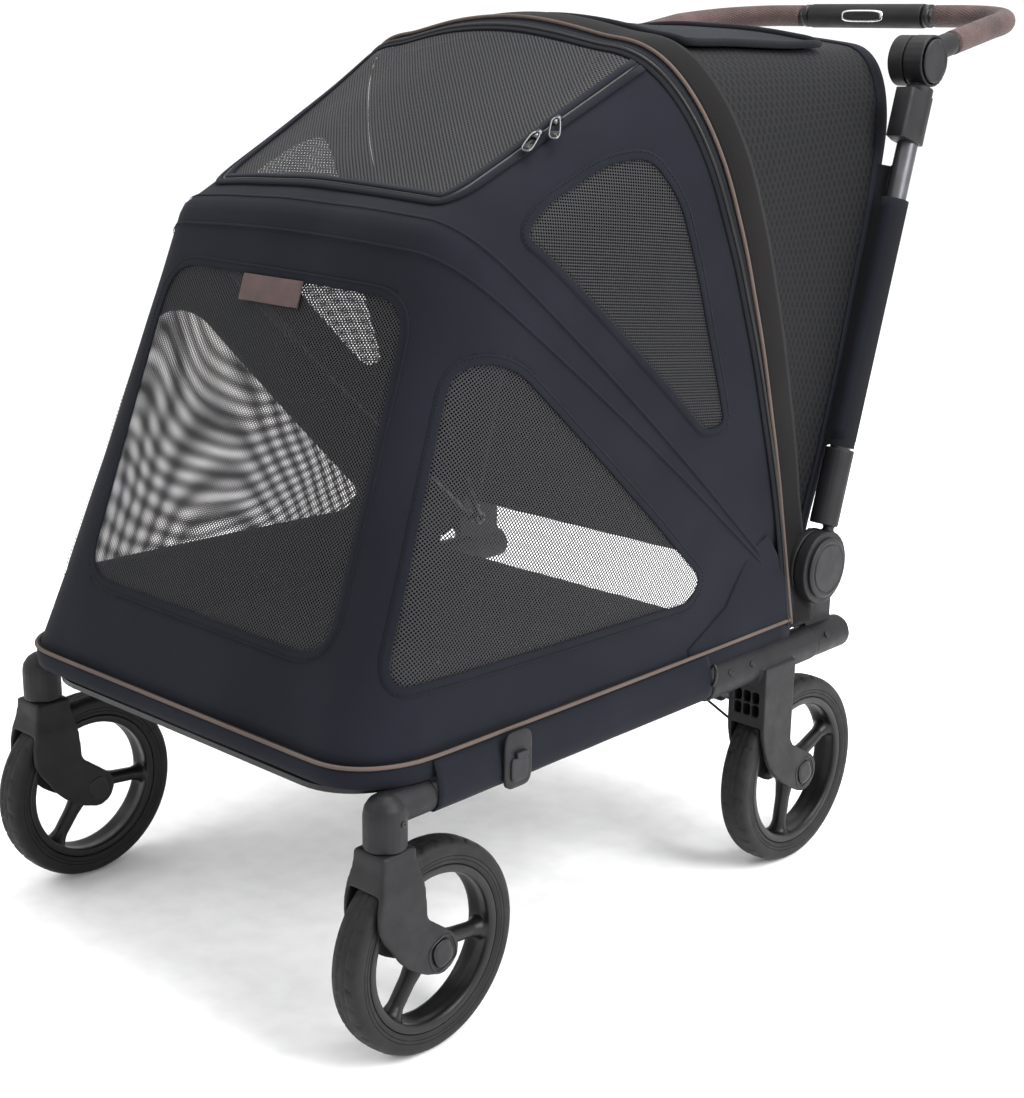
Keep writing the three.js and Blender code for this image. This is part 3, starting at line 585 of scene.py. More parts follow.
CAP_TILT = math.radians(20)
for side, sign in SIDES:
    wheel("front", side, sign, -AXLE_Y, FRONT_R, f"front_wheel_{side}")
    wheel("rear", side, sign, AXLE_Y, REAR_R, f"rear_wheel_{side}")
    for prefix, y, radius, body in (("front", -AXLE_Y, FRONT_R, f"caster_{side}"),
                                    ("rear", AXLE_Y, REAR_R, "chassis")):
        centre = at(sign * TRACK, y, radius)
        button = lozenge(f"{prefix}_cap_{side}", centre, sign, 0.0128, 0.0144, CAP_TILT, 0.0263, 0.0288,
                         GLOSS, f"{prefix}_release_{side}", "button", power=2.8)
        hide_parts(f"{prefix}_release_button_{side}")
        lozenge(f"{prefix}_cap_face_{side}", centre, sign, 0.0108, 0.0124, CAP_TILT, 0.0284, 0.0292, DISC,
                f"{prefix}_release_{side}", "button", power=2.8)
        bezel = [centre + Vector((sign * 0.0273, 0, 0)) + Matrix.Rotation(CAP_TILT, 3, "X") @ p
                 for p in superellipse(0.0182, 0.0172, 3.2)]
        tube(f"{prefix}_cap_bezel_{side}", bezel, 0.0011, GLOSS, body, "moulding", sides=10, closed=True)
        lozenge(f"{prefix}_inner_cap_{side}", centre, -sign, 0.0125, 0.0148, CAP_TILT, 0.0270, 0.0284,
                        GLOSS, body, "button")
    softened(f"caster_fork_{side}", PLASTIC, f"caster_{side}", voxel=0.0017, rounds=22)
    softened(f"front_elbow_{side}", PLASTIC, "chassis")
    softened(f"rear_leg_{side}", PLASTIC, "chassis", voxel=0.0015, rounds=9)
    softened(f"hinge_base_{side}", PLASTIC, "chassis")
    softened(f"arm_knuckle_{side}", PLASTIC, "push_frame")
    softened(f"handle_hinge_{side}", PLASTIC, "push_frame")
    latch_at = at(sign * 0.2965, -0.208, 0.292)
    latch = lozenge(f"storage_latch_{side}_tab", latch_at, sign, 0.0205, 0.0310, 0.0, 0.0222, 0.0262, PLASTIC,
                    "chassis", "moulding", power=4.5)
    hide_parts(f"storage_latch_{side}")
    lozenge(f"storage_latch_{side}_pad", latch_at + Vector((0, 0, -0.010)), sign, 0.0125, 0.0130, 0.0,
            0.0255, 0.0285,
            DISC, "chassis", "moulding", power=5.0)
    lozenge(f"storage_latch_{side}_hook", latch_at + Vector((0, 0.002, 0.006)), sign, 0.0085, 0.0030, 0.0,
            0.0255,
            0.0310, DISC, "chassis", "moulding", power=5.0)
softened("brake_pedal", PLASTIC, "pedal")
softened("handle_hub", PLASTIC, "handle", voxel=0.0011, rounds=3)


# ---- Frame tubes --------------------------------------------------------------------------------
def arm_point(distance, x=0.0):
    return at(x, FOLD_Y + math.sin(ARM_LEAN) * distance, FOLD_Z + math.cos(ARM_LEAN) * distance)


for side, sign in SIDES:
    x = sign * TRACK
    rail = tube(f"side_rail_{side}_tube", [at(x, -0.338 + 0.742 * i / 8, RAIL_Z) for i in range(9)], 0.0149,
                TUBE, "chassis", "frame_tube", sides=40)
    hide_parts(f"side_rail_{side}")
    arm = tube(f"push_arm_{side}_tube", [arm_point(0.062 + 0.53 * i / 8, x) for i in range(9)], 0.0129,
               TUBE, "push_frame", "frame_tube", sides=40)
    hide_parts(f"push_arm_{side}")
    disc = lathe(f"hinge_disc_{side}",
                 [(0.0164, 0.0), (0.0164, 0.0375), (0.0192, 0.0378), (0.0212, 0.0352), (0.0214, 0.0325),
                  (0.0206, 0.0312), (0.0206, 0.0300), (0.0220, 0.0290), (0.0223, 0.0)],
                 at(x, FOLD_Y, FOLD_Z), sign, DISC, "push_frame", "hinge_disc", segments=96)
    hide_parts(f"hinge_cover_{side}")
    hinge = arm_point(ARM_LENGTH, x)
    button = lathe(f"tilt_disc_{side}",
                   [(0.0106, 0.0), (0.0106, 0.0245), (0.0120, 0.0258), (0.0138, 0.0262), (0.0154, 0.0250),
                    (0.0154, 0.0228),
                    (0.0146, 0.0220), (0.0150, 0.0)],
                   hinge, sign, DISC, f"tilt_release_{side}", "hinge_disc", segments=96)
    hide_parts(f"tilt_button_{side}")
    screw(f"elbow_screw_{side}", at(x + sign * 0.0222, STEM_Y + 0.004, 0.270), Vector((sign, 0.1, 0)),
          0.0034, "chassis")
    for y in (0.165, 0.208, 0.366):
        screw(f"bracket_screw_{side}_{int(y * 1000)}", at(x + sign * 0.0194, y, RAIL_Z + 0.0098),
              Vector((sign * 0.0194, 0, 0.0098)), 0.0042, "chassis")
    hook = [at(sign * px, 0.127, pz) for px, pz in ((0.3195, 0.284), (0.3225, 0.292), (0.3235, 0.302),
                                                    (0.3205, 0.309),
                                                   (0.3165, 0.305))]
    tube(f"bracket_hook_{side}", smooth_path(hook, 6), 0.0022, GLOSS, "chassis", "steel", sides=12)

cross = tube("rear_cross_tube_round", [at(-0.270 + 0.54 * i / 6, 0.262, 0.222) for i in range(7)], 0.0089,
             TUBE,
             "chassis", "frame_tube", sides=32)
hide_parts("rear_cross_tube")
CABLE = ((-0.269, 0.240, 0.196), (-0.190, 0.238, 0.230), (-0.100, 0.235, 0.258), (0, 0.233, 0.266),
         (0.100, 0.235, 0.258), (0.190, 0.238, 0.230), (0.269, 0.240, 0.196))
cable = tube("brake_cable_round", smooth_path([at(*p) for p in CABLE], 10), 0.0016, GLOSS, "chassis",
             "cable", sides=12)
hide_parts("brake_cable")


# ---- Handle -------------------------------------------------------------------------------------
def handle_line(sign):
    """Half of the handle's centre line, from its hinge to the middle of the bar."""
    hinge = arm_point(ARM_LENGTH)
    leg = Vector((sign * HANDLE_X, hinge.y, hinge.z))
    bend = at(sign * 0.262, HANDLE_Y - 0.110, HANDLE_Z - 0.014)
    corner = at(sign * 0.252, HANDLE_Y - 0.004, HANDLE_Z - 0.001)
    bar = at(sign * 0.150, HANDLE_Y, HANDLE_Z)
    middle = at(0, HANDLE_Y, HANDLE_Z)
    path = [leg.lerp(bend, i / 30) for i in range(30)]
    for i in range(30):
        t = i / 30
        path.append(bend * (1 - t) ** 2 + corner * 2 * t * (1 - t) + bar * t * t)
    path += [bar.lerp(middle, i / 20) for i in range(21)]
    return path


def stretch(path, start, end):
    lengths = [0.0]
    for a, b in zip(path, path[1:]):
        lengths.append(lengths[-1] + (b - a).length)
    total = lengths[-1]
    return [p for p, s in zip(path, lengths) if start * total <= s <= end * total]


for side, sign in SIDES:
    line = handle_line(sign)
    tube(f"handle_tube_{side}", stretch(line, 0.03, 1.0), 0.0110, TUBE, "handle", "frame_tube", sides=32)
    tube(f"handle_ferrule_{side}", stretch(line, 0.05, 0.205), 0.0148, PLASTIC, "handle", "moulding",
         sides=36)
    grip = tube(f"grip_{side}_wrap", stretch(line, 0.2, 0.80), 0.0153, BRAID, "handle", "leather", sides=40)
    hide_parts(f"grip_{side}")
    tube(f"hub_cuff_{side}", stretch(line, 0.80, 0.835), 0.0160, GLOSS, "handle", "moulding", sides=36)
    hinge = arm_point(ARM_LENGTH)
    drum = lathe(f"handle_drum_{side}",
                 [(-0.0105, 0.0), (-0.0105, 0.0285), (-0.009, 0.0305), (0.009, 0.0305), (0.0105, 0.0285),
                  (0.0105, 0.0)],
                 Vector((sign * HANDLE_X, hinge.y, hinge.z)), sign, PLASTIC, "handle", "moulding",
                 segments=96)
    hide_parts("handle_frame")
    screw(f"ferrule_screw_{side}", line[8] + Vector((sign * 0.0145, 0, 0)), Vector((sign, 0, 0)), 0.003,
          "handle")

SWITCH_Y = HANDLE_Y - 0.0168


def switch_plate(name, half_height, half_width, thickness, offset, material, body):
    """A rounded plate laid on the front of the handle's hub."""
    centre = at(0, HANDLE_Y, HANDLE_Z)
    plate = lozenge(name, centre, 1, half_height, half_width, 0.0, 0.0, thickness, material, None, "button",
                    power=4.0)
    plate.matrix_world = (Matrix.Translation(at(0, SWITCH_Y + offset, HANDLE_Z))
                          @ Matrix.Rotation(-math.pi / 2, 4, "Z") @ Matrix.Rotation(math.pi / 2, 4, "X")
                          @ Matrix.Translation(-centre))
    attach(plate, body)
    return plate


switch_plate("switch_trim", 0.0084, 0.0345, 0.0016, 0.0006, SILVER, "handle")
switch = switch_plate("switch_key", 0.0064, 0.0305, 0.003, -0.0001, GLOSS, "fold_release")
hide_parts("fold_switch")

# ---- Cabin surface ------------------------------------------------------------------------------
N_LEG, N_CORNER, N_BAR = 64, 40, 40
SEAM_SHAPES = (
    ((0.300, 0), (HALF_WIDTH, 0.316), (HALF_WIDTH, 0.628), (0.228, 0.703), (0, 0.703)),
    ((0.284, 0.026), (0.282, 0.338), (0.252, 0.630), (0.176, 0.736), (0, 0.746)),
    ((0.276, 0.034), (0.297, 0.320), (0.288, 0.552), (0.158, 0.706), (0, 0.729)),
    ((0.270, 0), (0.276, 0.250), (0.266, 0.528), (0.182, 0.650), (0, 0.662)),
)


def half_seam(foot, waist, top, corner, middle):
    foot, waist, top, corner = (np.array(p, float) for p in (foot, waist, top, corner))
    knee = 2 * waist - (foot + top) / 2
    turn = np.array([top[0] - (top[0] - corner[0]) * 0.2, corner[1]])
    points = []
    for i in range(N_LEG):
        t = i / N_LEG
        points.append(foot * (1 - t) ** 2 + knee * 2 * t * (1 - t) + top * t * t)
    for i in range(N_CORNER):
        t = i / N_CORNER
        points.append(top * (1 - t) ** 2 + turn * 2 * t * (1 - t) + corner * t * t)
    for i in range(N_BAR + 1):
        t = i / N_BAR
        points.append(np.array([corner[0] * (1 - t),
                                corner[1] + (middle[1] - corner[1]) * math.sin(t * math.pi / 2)]))
    return np.array(points)


def whole_seam(shape, place):
    half = half_seam(*shape)
    flat = np.concatenate([half * (-1, 1), half[-2::-1]])
    for _ in range(14):
        flat[1:-1] = (flat[:-2] + flat[1:-1] * 2 + flat[2:]) / 4
    return np.array([place(x, r) for x, r in flat])


def on_hoop(angle):
    return lambda x, r: at(x, PIVOT_Y - math.cos(angle) * r, PIVOT_Z + math.sin(angle) * r)


def on_back(x, height):
    z = 0.352 + height
    return at(x, FOLD_Y + math.tan(ARM_LEAN) * (z - FOLD_Z) - 0.006, z)


ROWS = np.array([
    whole_seam(SEAM_SHAPES[0], lambda x, r: at(x, TAIL_Y - r, RIM_Z)),
    whole_seam(SEAM_SHAPES[1], on_hoop(FRONT_ANGLE)),
    whole_seam(SEAM_SHAPES[2], on_hoop(MID_ANGLE)),
    whole_seam(SEAM_SHAPES[3], on_back),
])
COLUMNS = ROWS.shape[1]
SAG = (0.003, 0.004, 0.004)  # how far the cloth pulls in between two hoops
STEPS = 40


def build_surface():
    """The whole taut surface as a fine grid of points and outward normals."""
    rows = []
    for k in range(3):
        for i in range(STEPS):
            t = i / STEPS
            rows.append(ROWS[k] * (1 - t) + ROWS[k + 1] * t)
    rows.append(ROWS[3])
    grid = np.array(rows)
    across = np.gradient(grid, axis=1)
    along = np.gradient(grid, axis=0)
    normal = np.cross(across, along)
    normal /= np.linalg.norm(normal, axis=2, keepdims=True) + 1e-12
    for r in range(grid.shape[0]):
        k = min(r // STEPS, 2)
        t = r / STEPS - k
        grid[r] -= normal[r] * SAG[k] * 4 * t * (1 - t)
    for r in range(grid.shape[0]):
        for c in range(grid.shape[1]):
            p = grid[r, c]
            grid[r, c] = p + normal[r, c] * 0.0018 * noise.noise(Vector(p) * 11.0)
    return grid, normal


GRID, NORMALS = build_surface()
LAST_ROW, LAST_COLUMN = GRID.shape[0] - 1, GRID.shape[1] - 1


def sample(field, c, r):
    """Bilinear look-up of a grid at fractional column and row."""
    c = min(max(c, 0.0), LAST_COLUMN - 1e-6)
    r = min(max(r, 0.0), LAST_ROW - 1e-6)
    i, j = int(r), int(c)
    s, t = r - i, c - j
    return (field[i, j] * (1 - s) * (1 - t) + field[i, j + 1] * (1 - s) * t + field[i + 1, j] * s * (1 - t)
            + field[i + 1, j + 1] * s * t)


def surface(c, r, lift=0.0):
    p = Vector(sample(GRID, c, r))
    if lift:
        p += normal_at(c, r) * lift
    return p


def normal_at(c, r):
    return Vector(sample(NORMALS, c, r)).normalized()


def cell_of(point):
    """The (column, row) of the surface nearest to a point."""
    target = np.array(point)
    distance = ((GRID - target) ** 2).sum(axis=2)
    r, c = np.unravel_index(distance.argmin(), distance.shape)
    c, r = float(c), float(r)
    for _ in range(6):
        here = sample(GRID, c, r)
        du = sample(GRID, c + 0.5, r) - sample(GRID, c - 0.5, r)
        dv = sample(GRID, c, r + 0.5) - sample(GRID, c, r - 0.5)
        system = np.array([du, dv]).T
        step = np.linalg.lstsq(system, target - here, rcond=None)[0]
        c += float(np.clip(step[0], -2, 2))
        r += float(np.clip(step[1], -2, 2))
        c, r = min(max(c, 0.0), LAST_COLUMN), min(max(r, 0.0), LAST_ROW)
    return c, r


CELL_WIDTH, CELL_DEPTH = 0.0095, 0.013  # nominal size of one grid cell, for even triangles


def flatten(cell):
    return Vector((cell[0] * CELL_WIDTH, cell[1] * CELL_DEPTH))


def inside(points, polygon):
    """Which of many flat points lie inside a polygon."""
    points = np.asarray(points, float)
    hit = np.zeros(len(points), bool)
    for (ax, ay), (bx, by) in zip(polygon, polygon[1:] + polygon[:1]):
        if ay != by:
            crossing = (ay > points[:, 1]) != (by > points[:, 1])
            hit ^= crossing & (points[:, 0] < (bx - ax) * (points[:, 1] - ay) / (by - ay) + ax)
    return hit


def in_region(points, polygons):
    """Inside the first polygon and outside the rest."""
    keep = inside(points, polygons[0])
    for hole in polygons[1:]:
        keep &= ~inside(points, hole)
    return keep


def rounded_outline(corners, radius, steps=9):
    """A closed outline of 3-D points with every corner rounded off."""
    out = []
    count = len(corners)
    for i, corner in enumerate(corners):
        before, after = corners[i - 1], corners[(i + 1) % count]
        cut = min(radius, (before - corner).length * 0.48, (after - corner).length * 0.48)
        a = corner + (before - corner).normalized() * cut
        b = corner + (after - corner).normalized() * cut
        for s in range(steps + 1):
            t = s / steps
            out.append(a * (1 - t) ** 2 + corner * 2 * t * (1 - t) + b * t * t)
    dense = []
    for a, b in zip(out, out[1:] + out[:1]):
        pieces = max(1, int((b - a).length / 0.011))
        dense += [a.lerp(b, k / pieces) for k in range(pieces)]
    return dense


def outline_cells(corners, radius):
    return [cell_of(p) for p in rounded_outline([at(*c) for c in corners], radius)]


def rectangle_cells(c0, c1, r0, r1, step=1.5):
    columns = np.linspace(c0, c1, max(2, int(abs(c1 - c0) / step)))
    rows = np.linspace(r0, r1, max(2, int(abs(r1 - r0) / step)))
    return ([(c, r0) for c in columns[:-1]] + [(c1, r) for r in rows[:-1]] + [(c, r1) for c in columns[:0:-1]]
            + [(c0, r) for r in rows[:0:-1]])


def patch(name, outline, holes, material, slot, lift=0.0, thickness=0.0, level=None):
    """A piece of cloth on the cabin surface: its outline less its holes, evenly triangulated.

    With a level, the weave runs by depth and by the distance round the cabin at that grid row.
    """
    loops = [outline, *holes]
    flat = [[flatten(cell) for cell in loop] for loop in loops]
    points, edges = [], []
    for loop in flat:
        base = len(points)
        points += loop
        edges += [(base + i, base + (i + 1) % len(loop)) for i in range(len(loop))]
    low = np.min([tuple(p) for p in flat[0]], axis=0)
    high = np.max([tuple(p) for p in flat[0]], axis=0)
    polygons = [[tuple(p) for p in loop] for loop in flat]
    spacing = 0.0128
    lattice = []
    for row, y in enumerate(np.arange(low[1], high[1], spacing)):
        lattice += [(x, y) for x in np.arange(low[0] + (row % 2) * spacing / 2, high[0], spacing)]
    points += [Vector(p) for p, keep in zip(lattice, in_region(lattice, polygons)) if keep]
    verts, _, faces, *_ = geometry.delaunay_2d_cdt(points, edges, [], 0, 1e-5)
    middles = [tuple(sum((verts[i] for i in face), Vector((0, 0))) / len(face)) for face in faces]
    kept = [face for face, keep in zip(faces, in_region(middles, polygons)) if keep]
    used = sorted({i for face in kept for i in face})
    index = {v: k for k, v in enumerate(used)}
    placed, uvs = [], []
    for v in used:
        c, r = verts[v].x / CELL_WIDTH, verts[v].y / CELL_DEPTH
        p = surface(c, r, lift)
        placed.append(p)
        uvs.append(cloth_uv(c, r) if level is None else (cloth_uv(c, level)[0], p.y))
    polys = [tuple(index[i] for i in face) for face in kept]
    first = polys[0]
    a, b, d = (placed[i] for i in first[:3])
    c, r = verts[used[first[0]]].x / CELL_WIDTH, verts[used[first[0]]].y / CELL_DEPTH
    if (b - a).cross(d - a).dot(normal_at(c, r)) < 0:
        polys = [p[::-1] for p in polys]
    obj = make(name, placed, polys, material, slot=slot, uvs=uvs)
    if thickness:
        thickened(obj, thickness, -1)
    return obj


def arc_lengths():
    across = np.zeros(GRID.shape[:2])
    across[:, 1:] = np.cumsum(np.linalg.norm(np.diff(GRID, axis=1), axis=2), axis=1)
    across -= across[:, LAST_COLUMN // 2 : LAST_COLUMN // 2 + 1]
    along = np.zeros(GRID.shape[:2])
    along[1:] = np.cumsum(np.linalg.norm(np.diff(GRID, axis=0), axis=2), axis=0)
    return across, along


ACROSS, ALONG = arc_lengths()


def cloth_uv(c, r):
    """Lengths in metres over the cloth, so that a weave keeps its size."""
    return (float(sample(ACROSS[..., None], c, r)[0]), float(sample(ALONG[..., None], c, r)[0]))


def squashed(obj):
    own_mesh(obj)
    return obj


def laid_flat(obj):
    """Maps a nearly flat piece onto its own best plane, and returns its width and length there."""
    points = np.array([v.co for v in obj.data.vertices])
    axes = np.linalg.svd(points - points.mean(axis=0), full_matrices=False)[2]
    flat = points @ axes[:2].T
    layer = obj.data.uv_layers[0].data
    for loop in obj.data.loops:
        layer[loop.index].uv = flat[loop.vertex_index]
    return flat.max(axis=0) - flat.min(axis=0)


def as_sheet(obj, size):
    """Gives a sewn panel its own copy of its mesh; the size of its cut is not used."""
    return squashed(obj)


def along_surface(cells, lift=0.0):
    return [surface(c, r, lift) for c, r in cells], [normal_at(c, r) for c, r in cells]


def trim_line(name, cells, profile, material, slot, lift=0.0, closed=False):
    points, normals = along_surface(cells, lift)
    out, faces, uvs = sweep(points, profile, normals, closed)
    return squashed(make(name, out, faces, material, slot=slot, uvs=uvs))


def stitches(name, cells, offset, pitch=0.0046):
    """A row of short threads beside a line on the surface."""
    points, normals = along_surface(cells, 0.0)
    tangents, _ = frames_along(points, closed=True)
    lengths = [0.0]
    for i in range(1, len(points)):
        lengths.append(lengths[-1] + (points[i] - points[i - 1]).length)
    out, faces = [], []
    s, i = 0.0, 0
    while s < lengths[-1] and i < len(points) - 1:
        while i < len(points) - 2 and lengths[i + 1] < s:
            i += 1
        span = max(lengths[i + 1] - lengths[i], 1e-9)
        t = (s - lengths[i]) / span
        p = points[i].lerp(points[i + 1], t)
        direction, up = tangents[i], normals[i]
        side = direction.cross(up).normalized()
        centre = p + side * offset + up * 0.0016
        base = len(out)
        for a in (-0.0014, 0.0014):
            out += [centre + direction * a + side * 0.00035, centre + direction * a + up * 0.00045,
                    centre + direction * a - side * 0.00035, centre + direction * a - up * 0.0006]
        for k in range(4):
            m = (k + 1) % 4
            faces.append((base + k, base + m, base + 4 + m, base + 4 + k))
        faces += [(base + 3, base + 2, base + 1, base), (base + 4, base + 5, base + 6, base + 7)]
        s += pitch
    obj = make(name, out, faces, TAPE, slot="cabin_fabric")
    return squashed(obj)


# ---- Cabin panels -------------------------------------------------------------------------------
FRONT_WINDOW = ((-0.192, -0.248, 0.766), (0.203, -0.249, 0.762), (0.212, -0.373, 0.405),
                (-0.207, -0.372, 0.410))
LOWER_WINDOW = ((-0.262, 0.700), (-0.205, 0.706), (-0.150, 0.690), (0.140, 0.408), (0.112, 0.378),
                (-0.345, 0.388),
                (-0.366, 0.420))
UPPER_WINDOW = ((-0.138, 0.824), (-0.100, 0.866), (-0.010, 0.898), (0.052, 0.896), (0.094, 0.840),
                (0.180, 0.580),
                (0.140, 0.572))
front_cells = outline_cells(FRONT_WINDOW, 0.055)
MIDDLE = LAST_COLUMN / 2
HATCH_ROWS = (STEPS * 1.13, STEPS * 1.93)
HATCH_SPREAD = (44.0, 52.0)  # half its width in columns, along its front and back edges


def hatch_cell(across, along):
    """A cell of the roof hatch from shares of its width (-1 to 1) and length (0 to 1)."""
    spread = HATCH_SPREAD[0] + (HATCH_SPREAD[1] - HATCH_SPREAD[0]) * along
    return MIDDLE + across * spread, HATCH_ROWS[0] + (HATCH_ROWS[1] - HATCH_ROWS[0]) * along


HATCH_ROUND = 0.10
quarter = [math.pi / 2 * i / 7 for i in range(8)]
front_corner = [(1 - HATCH_ROUND * (1 - math.sin(a)), HATCH_ROUND * 1.4 * (1 - math.cos(a))) for a in quarter]
hatch_path = [(-1, 1 - i / 16) for i in range(13)]
hatch_path += [(-x, y) for x, y in front_corner[::-1]]
hatch_path += [(-0.86 + 1.72 * i / 36, 0) for i in range(37)]
hatch_path += front_corner
hatch_path += [(1, 0.25 + i / 16) for i in range(13)]
hatch_edge = [hatch_cell(*p) for p in hatch_path]
hatch_cells = hatch_edge + [hatch_cell(1 - i / 20, 1) for i in range(1, 40)]

windows = {"front": front_cells}
for side, sign in SIDES:
    windows[f"lower_{side}"] = outline_cells([(sign * 0.288, y, z) for y, z in LOWER_WINDOW], 0.030)
    windows[f"upper_{side}"] = outline_cells([(sign * 0.275, y, z) for y, z in UPPER_WINDOW], 0.026)

shell_outline = rectangle_cells(0, LAST_COLUMN, 0, 2 * STEPS)
shell = patch("cabin_shell", shell_outline, [*windows.values(), hatch_cells], CLOTH, "cabin_fabric",
              thickness=0.0012)
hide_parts("canopy_front", "canopy_roof", "canopy_side_left", "canopy_side_right")
as_sheet(shell, (1.95, 0.80))
for key, cells in windows.items():
    pane = patch(f"window_{key}", cells, [], WINDOW, "roof_mesh", lift=-0.0008)
    as_sheet(pane, laid_flat(pane))
    trim_line(f"binding_{key}", cells, strip(0.011, 0.0010, 0.0003), CLOTH, "cabin_fabric", closed=True)
    stitches(f"stitch_{key}", cells + cells[:1], 0.0075)
    stitches(f"inner_stitch_{key}", cells + cells[:1], -0.0030)
hatch = patch("roof_mesh_panel", hatch_cells, [], ROOF, "roof_mesh", lift=0.0004)
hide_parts("roof_hatch")
as_sheet(hatch, (0.54, 0.36))


def zipper(name, cells):
    trim_line(f"{name}_tape", cells, strip(0.020, 0.0009, 0.0), TAPE, "cabin_fabric", lift=0.0006)
    trim_line(f"{name}_flap_a", cells, [(0.0105, 0.001), (0.0105, 0.0026), (0.0045, 0.0036), (0.0022, 0.0028),
                                        (0.0022, 0.001)], CLOTH, "cabin_fabric")
    trim_line(f"{name}_flap_b", cells, [(-0.0022, 0.001), (-0.0022, 0.0028), (-0.0045, 0.0036),
                                        (-0.0105, 0.0026),
                                        (-0.0105, 0.001)], CLOTH, "cabin_fabric")
    trim_line(f"{name}_coil", cells, ring(0.0017, 8), GLOSS, "cabin_fabric", lift=0.0014)


zipper("roof_zip", hatch_edge)


def zip_pull(name, cell, swing):
    """A slider with a bridge and a flat looped tab."""
    origin, up = surface(*cell, 0.004), normal_at(*cell)
    along = (surface(cell[0], cell[1] + 1) - surface(cell[0], cell[1] - 1)).normalized()
    side = along.cross(up).normalized()
    direction = (Matrix.Rotation(swing, 3, up) @ along).normalized()
    cross = direction.cross(up).normalized()
    body_out, body_faces, _ = sweep([origin - along * 0.006, origin - along * 0.003, origin + along * 0.003,
                                     origin + along * 0.006],
                                    [(0.004, -0.0015), (0.004, 0.0012), (0.002, 0.0026), (-0.002, 0.0026),
                                     (-0.004, 0.0012), (-0.004, -0.0015)], [up] * 4)
    squashed(make(f"{name}_slider", body_out, body_faces, STEEL, "chassis", "steel"))
    loop = []
    for a, b in ((0.0, 0.002), (0.006, 0.0045), (0.026, 0.0055), (0.034, 0.004), (0.036, 0.0),
                 (0.034, -0.004),
                 (0.026, -0.0055), (0.006, -0.0045), (0.0, -0.002)):
        loop.append(origin + direction * a + cross * b + up * (0.003 + 0.05 * a))
    closed_loop = smooth_path(loop + [loop[0]], 4)[:-1]
    out, faces, _ = sweep(closed_loop, ring(0.0012, 8), closed=True)
    squashed(make(f"{name}_loop", out, faces, STEEL, "chassis", "steel"))
    tab_out, tab_faces, _ = sweep([loop[2].lerp(loop[6], 0.5) - direction * 0.002,
                                   loop[3].lerp(loop[5], 0.5)],
                                  [(0.0045, -0.0008), (0.0045, 0.0008), (-0.0045, 0.0008),
                                   (-0.0045, -0.0008)], [up, up])
    squashed(make(f"{name}_tab", tab_out, tab_faces, GLOSS, "chassis", "steel"))


zip_pull("roof_pull_a", hatch_cell(1, 0.46), math.radians(196))
zip_pull("roof_pull_b", hatch_cell(1, 0.56), math.radians(212))

# Seams of the sleeve that carries the front hoop.
for label, row in (("lower", STEPS * 0.955), ("upper", STEPS * 1.045)):
    cells = [(2 + (LAST_COLUMN - 4) * i / 220, row) for i in range(221)]
    trim_line(f"hoop_seam_{label}", cells, strip(0.004, 0.0009, 0.0003), CLOTH, "cabin_fabric")
    stitches(f"hoop_stitch_{label}", cells, 0.003, pitch=0.005)

# ---- Middle arch: zip, piping and the plain band behind it ---------------------------------------
def arch_cells(row, first=1.0, last=LAST_COLUMN - 1.0):
    return [(first + (last - first) * i / 260, row) for i in range(261)]


def arch_line(name, row, profile, material, lift=0.0):
    """A trim along the middle arch that runs on down to the tray at both feet."""
    points, normals = along_surface(arch_cells(row, 10.0, LAST_COLUMN - 10.0), lift)
    for end, sign in ((0, math.copysign(1, points[0].x)), (-1, math.copysign(1, points[-1].x))):
        top, foot = points[end], at(sign * (0.3045 + lift), 0.300 - (2 * STEPS - row) * 0.004, 0.317)
        heading = (top - points[end + 4 if end == 0 else end - 4]).normalized()
        knee = top + heading * (top - foot).length * 0.45
        extra = [top * (1 - t) ** 2 + knee * 2 * t * (1 - t) + foot * t
                 * t for t in (i / 12 for i in range(1, 13))]
        outward = [(normals[end] * (1 - i / 12) + Vector((sign, 0, 0))
                    * i / 12).normalized() for i in range(1, 13)]
        if end == 0:
            points, normals = extra[::-1] + points, outward[::-1] + normals
        else:
            points, normals = points + extra, normals + outward
    out, faces, uvs = sweep(points, profile, normals)
    return squashed(make(name, out, faces, material, slot="cabin_fabric", uvs=uvs))


arch_line("arch_tape", 2 * STEPS - 1.6, strip(0.018, 0.0012, 0.0), TAPE, lift=0.0006)
arch_line("arch_coil", 2 * STEPS - 1.6, ring(0.0022, 8), GLOSS, lift=0.0022)
arch_line("arch_piping", 2 * STEPS + 0.1, ring(0.0022, 14), PIPING, lift=0.0026)
band_profile = [(-0.046, -0.0005), (-0.046, 0.0022), (-0.038, 0.0034), (-0.022, 0.0036), (-0.006, 0.0030),
                (0.0, 0.0016), (0.0, 0.0), (-0.022, 0.0012)]
arch_line("arch_band", 2 * STEPS + 0.4, band_profile, BAND)
for label, offset in (("front", -0.005), ("rear", -0.041)):
    stitches(f"band_stitch_{label}", arch_cells(2 * STEPS + 0.4), offset, pitch=0.005)

# ---- Rear shell ---------------------------------------------------------------------------------
rear_outline = rectangle_cells(0, LAST_COLUMN, 2 * STEPS + 0.5, 3 * STEPS)
rear = patch("rear_shell", rear_outline, [], AIR, "air_mesh", thickness=0.0022, level=2.5 * STEPS)
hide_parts("rear_top", "rear_mesh_left", "rear_mesh_right")
as_sheet(rear, (1.95, 0.46))
rear_edge = [(1 + (LAST_COLUMN - 2) * i / 240, 3 * STEPS - 0.4) for i in range(241)]
trim_line("rear_edge_binding", rear_edge, strip(0.022, 0.0022, 0.0008), CLOTH, "cabin_fabric")


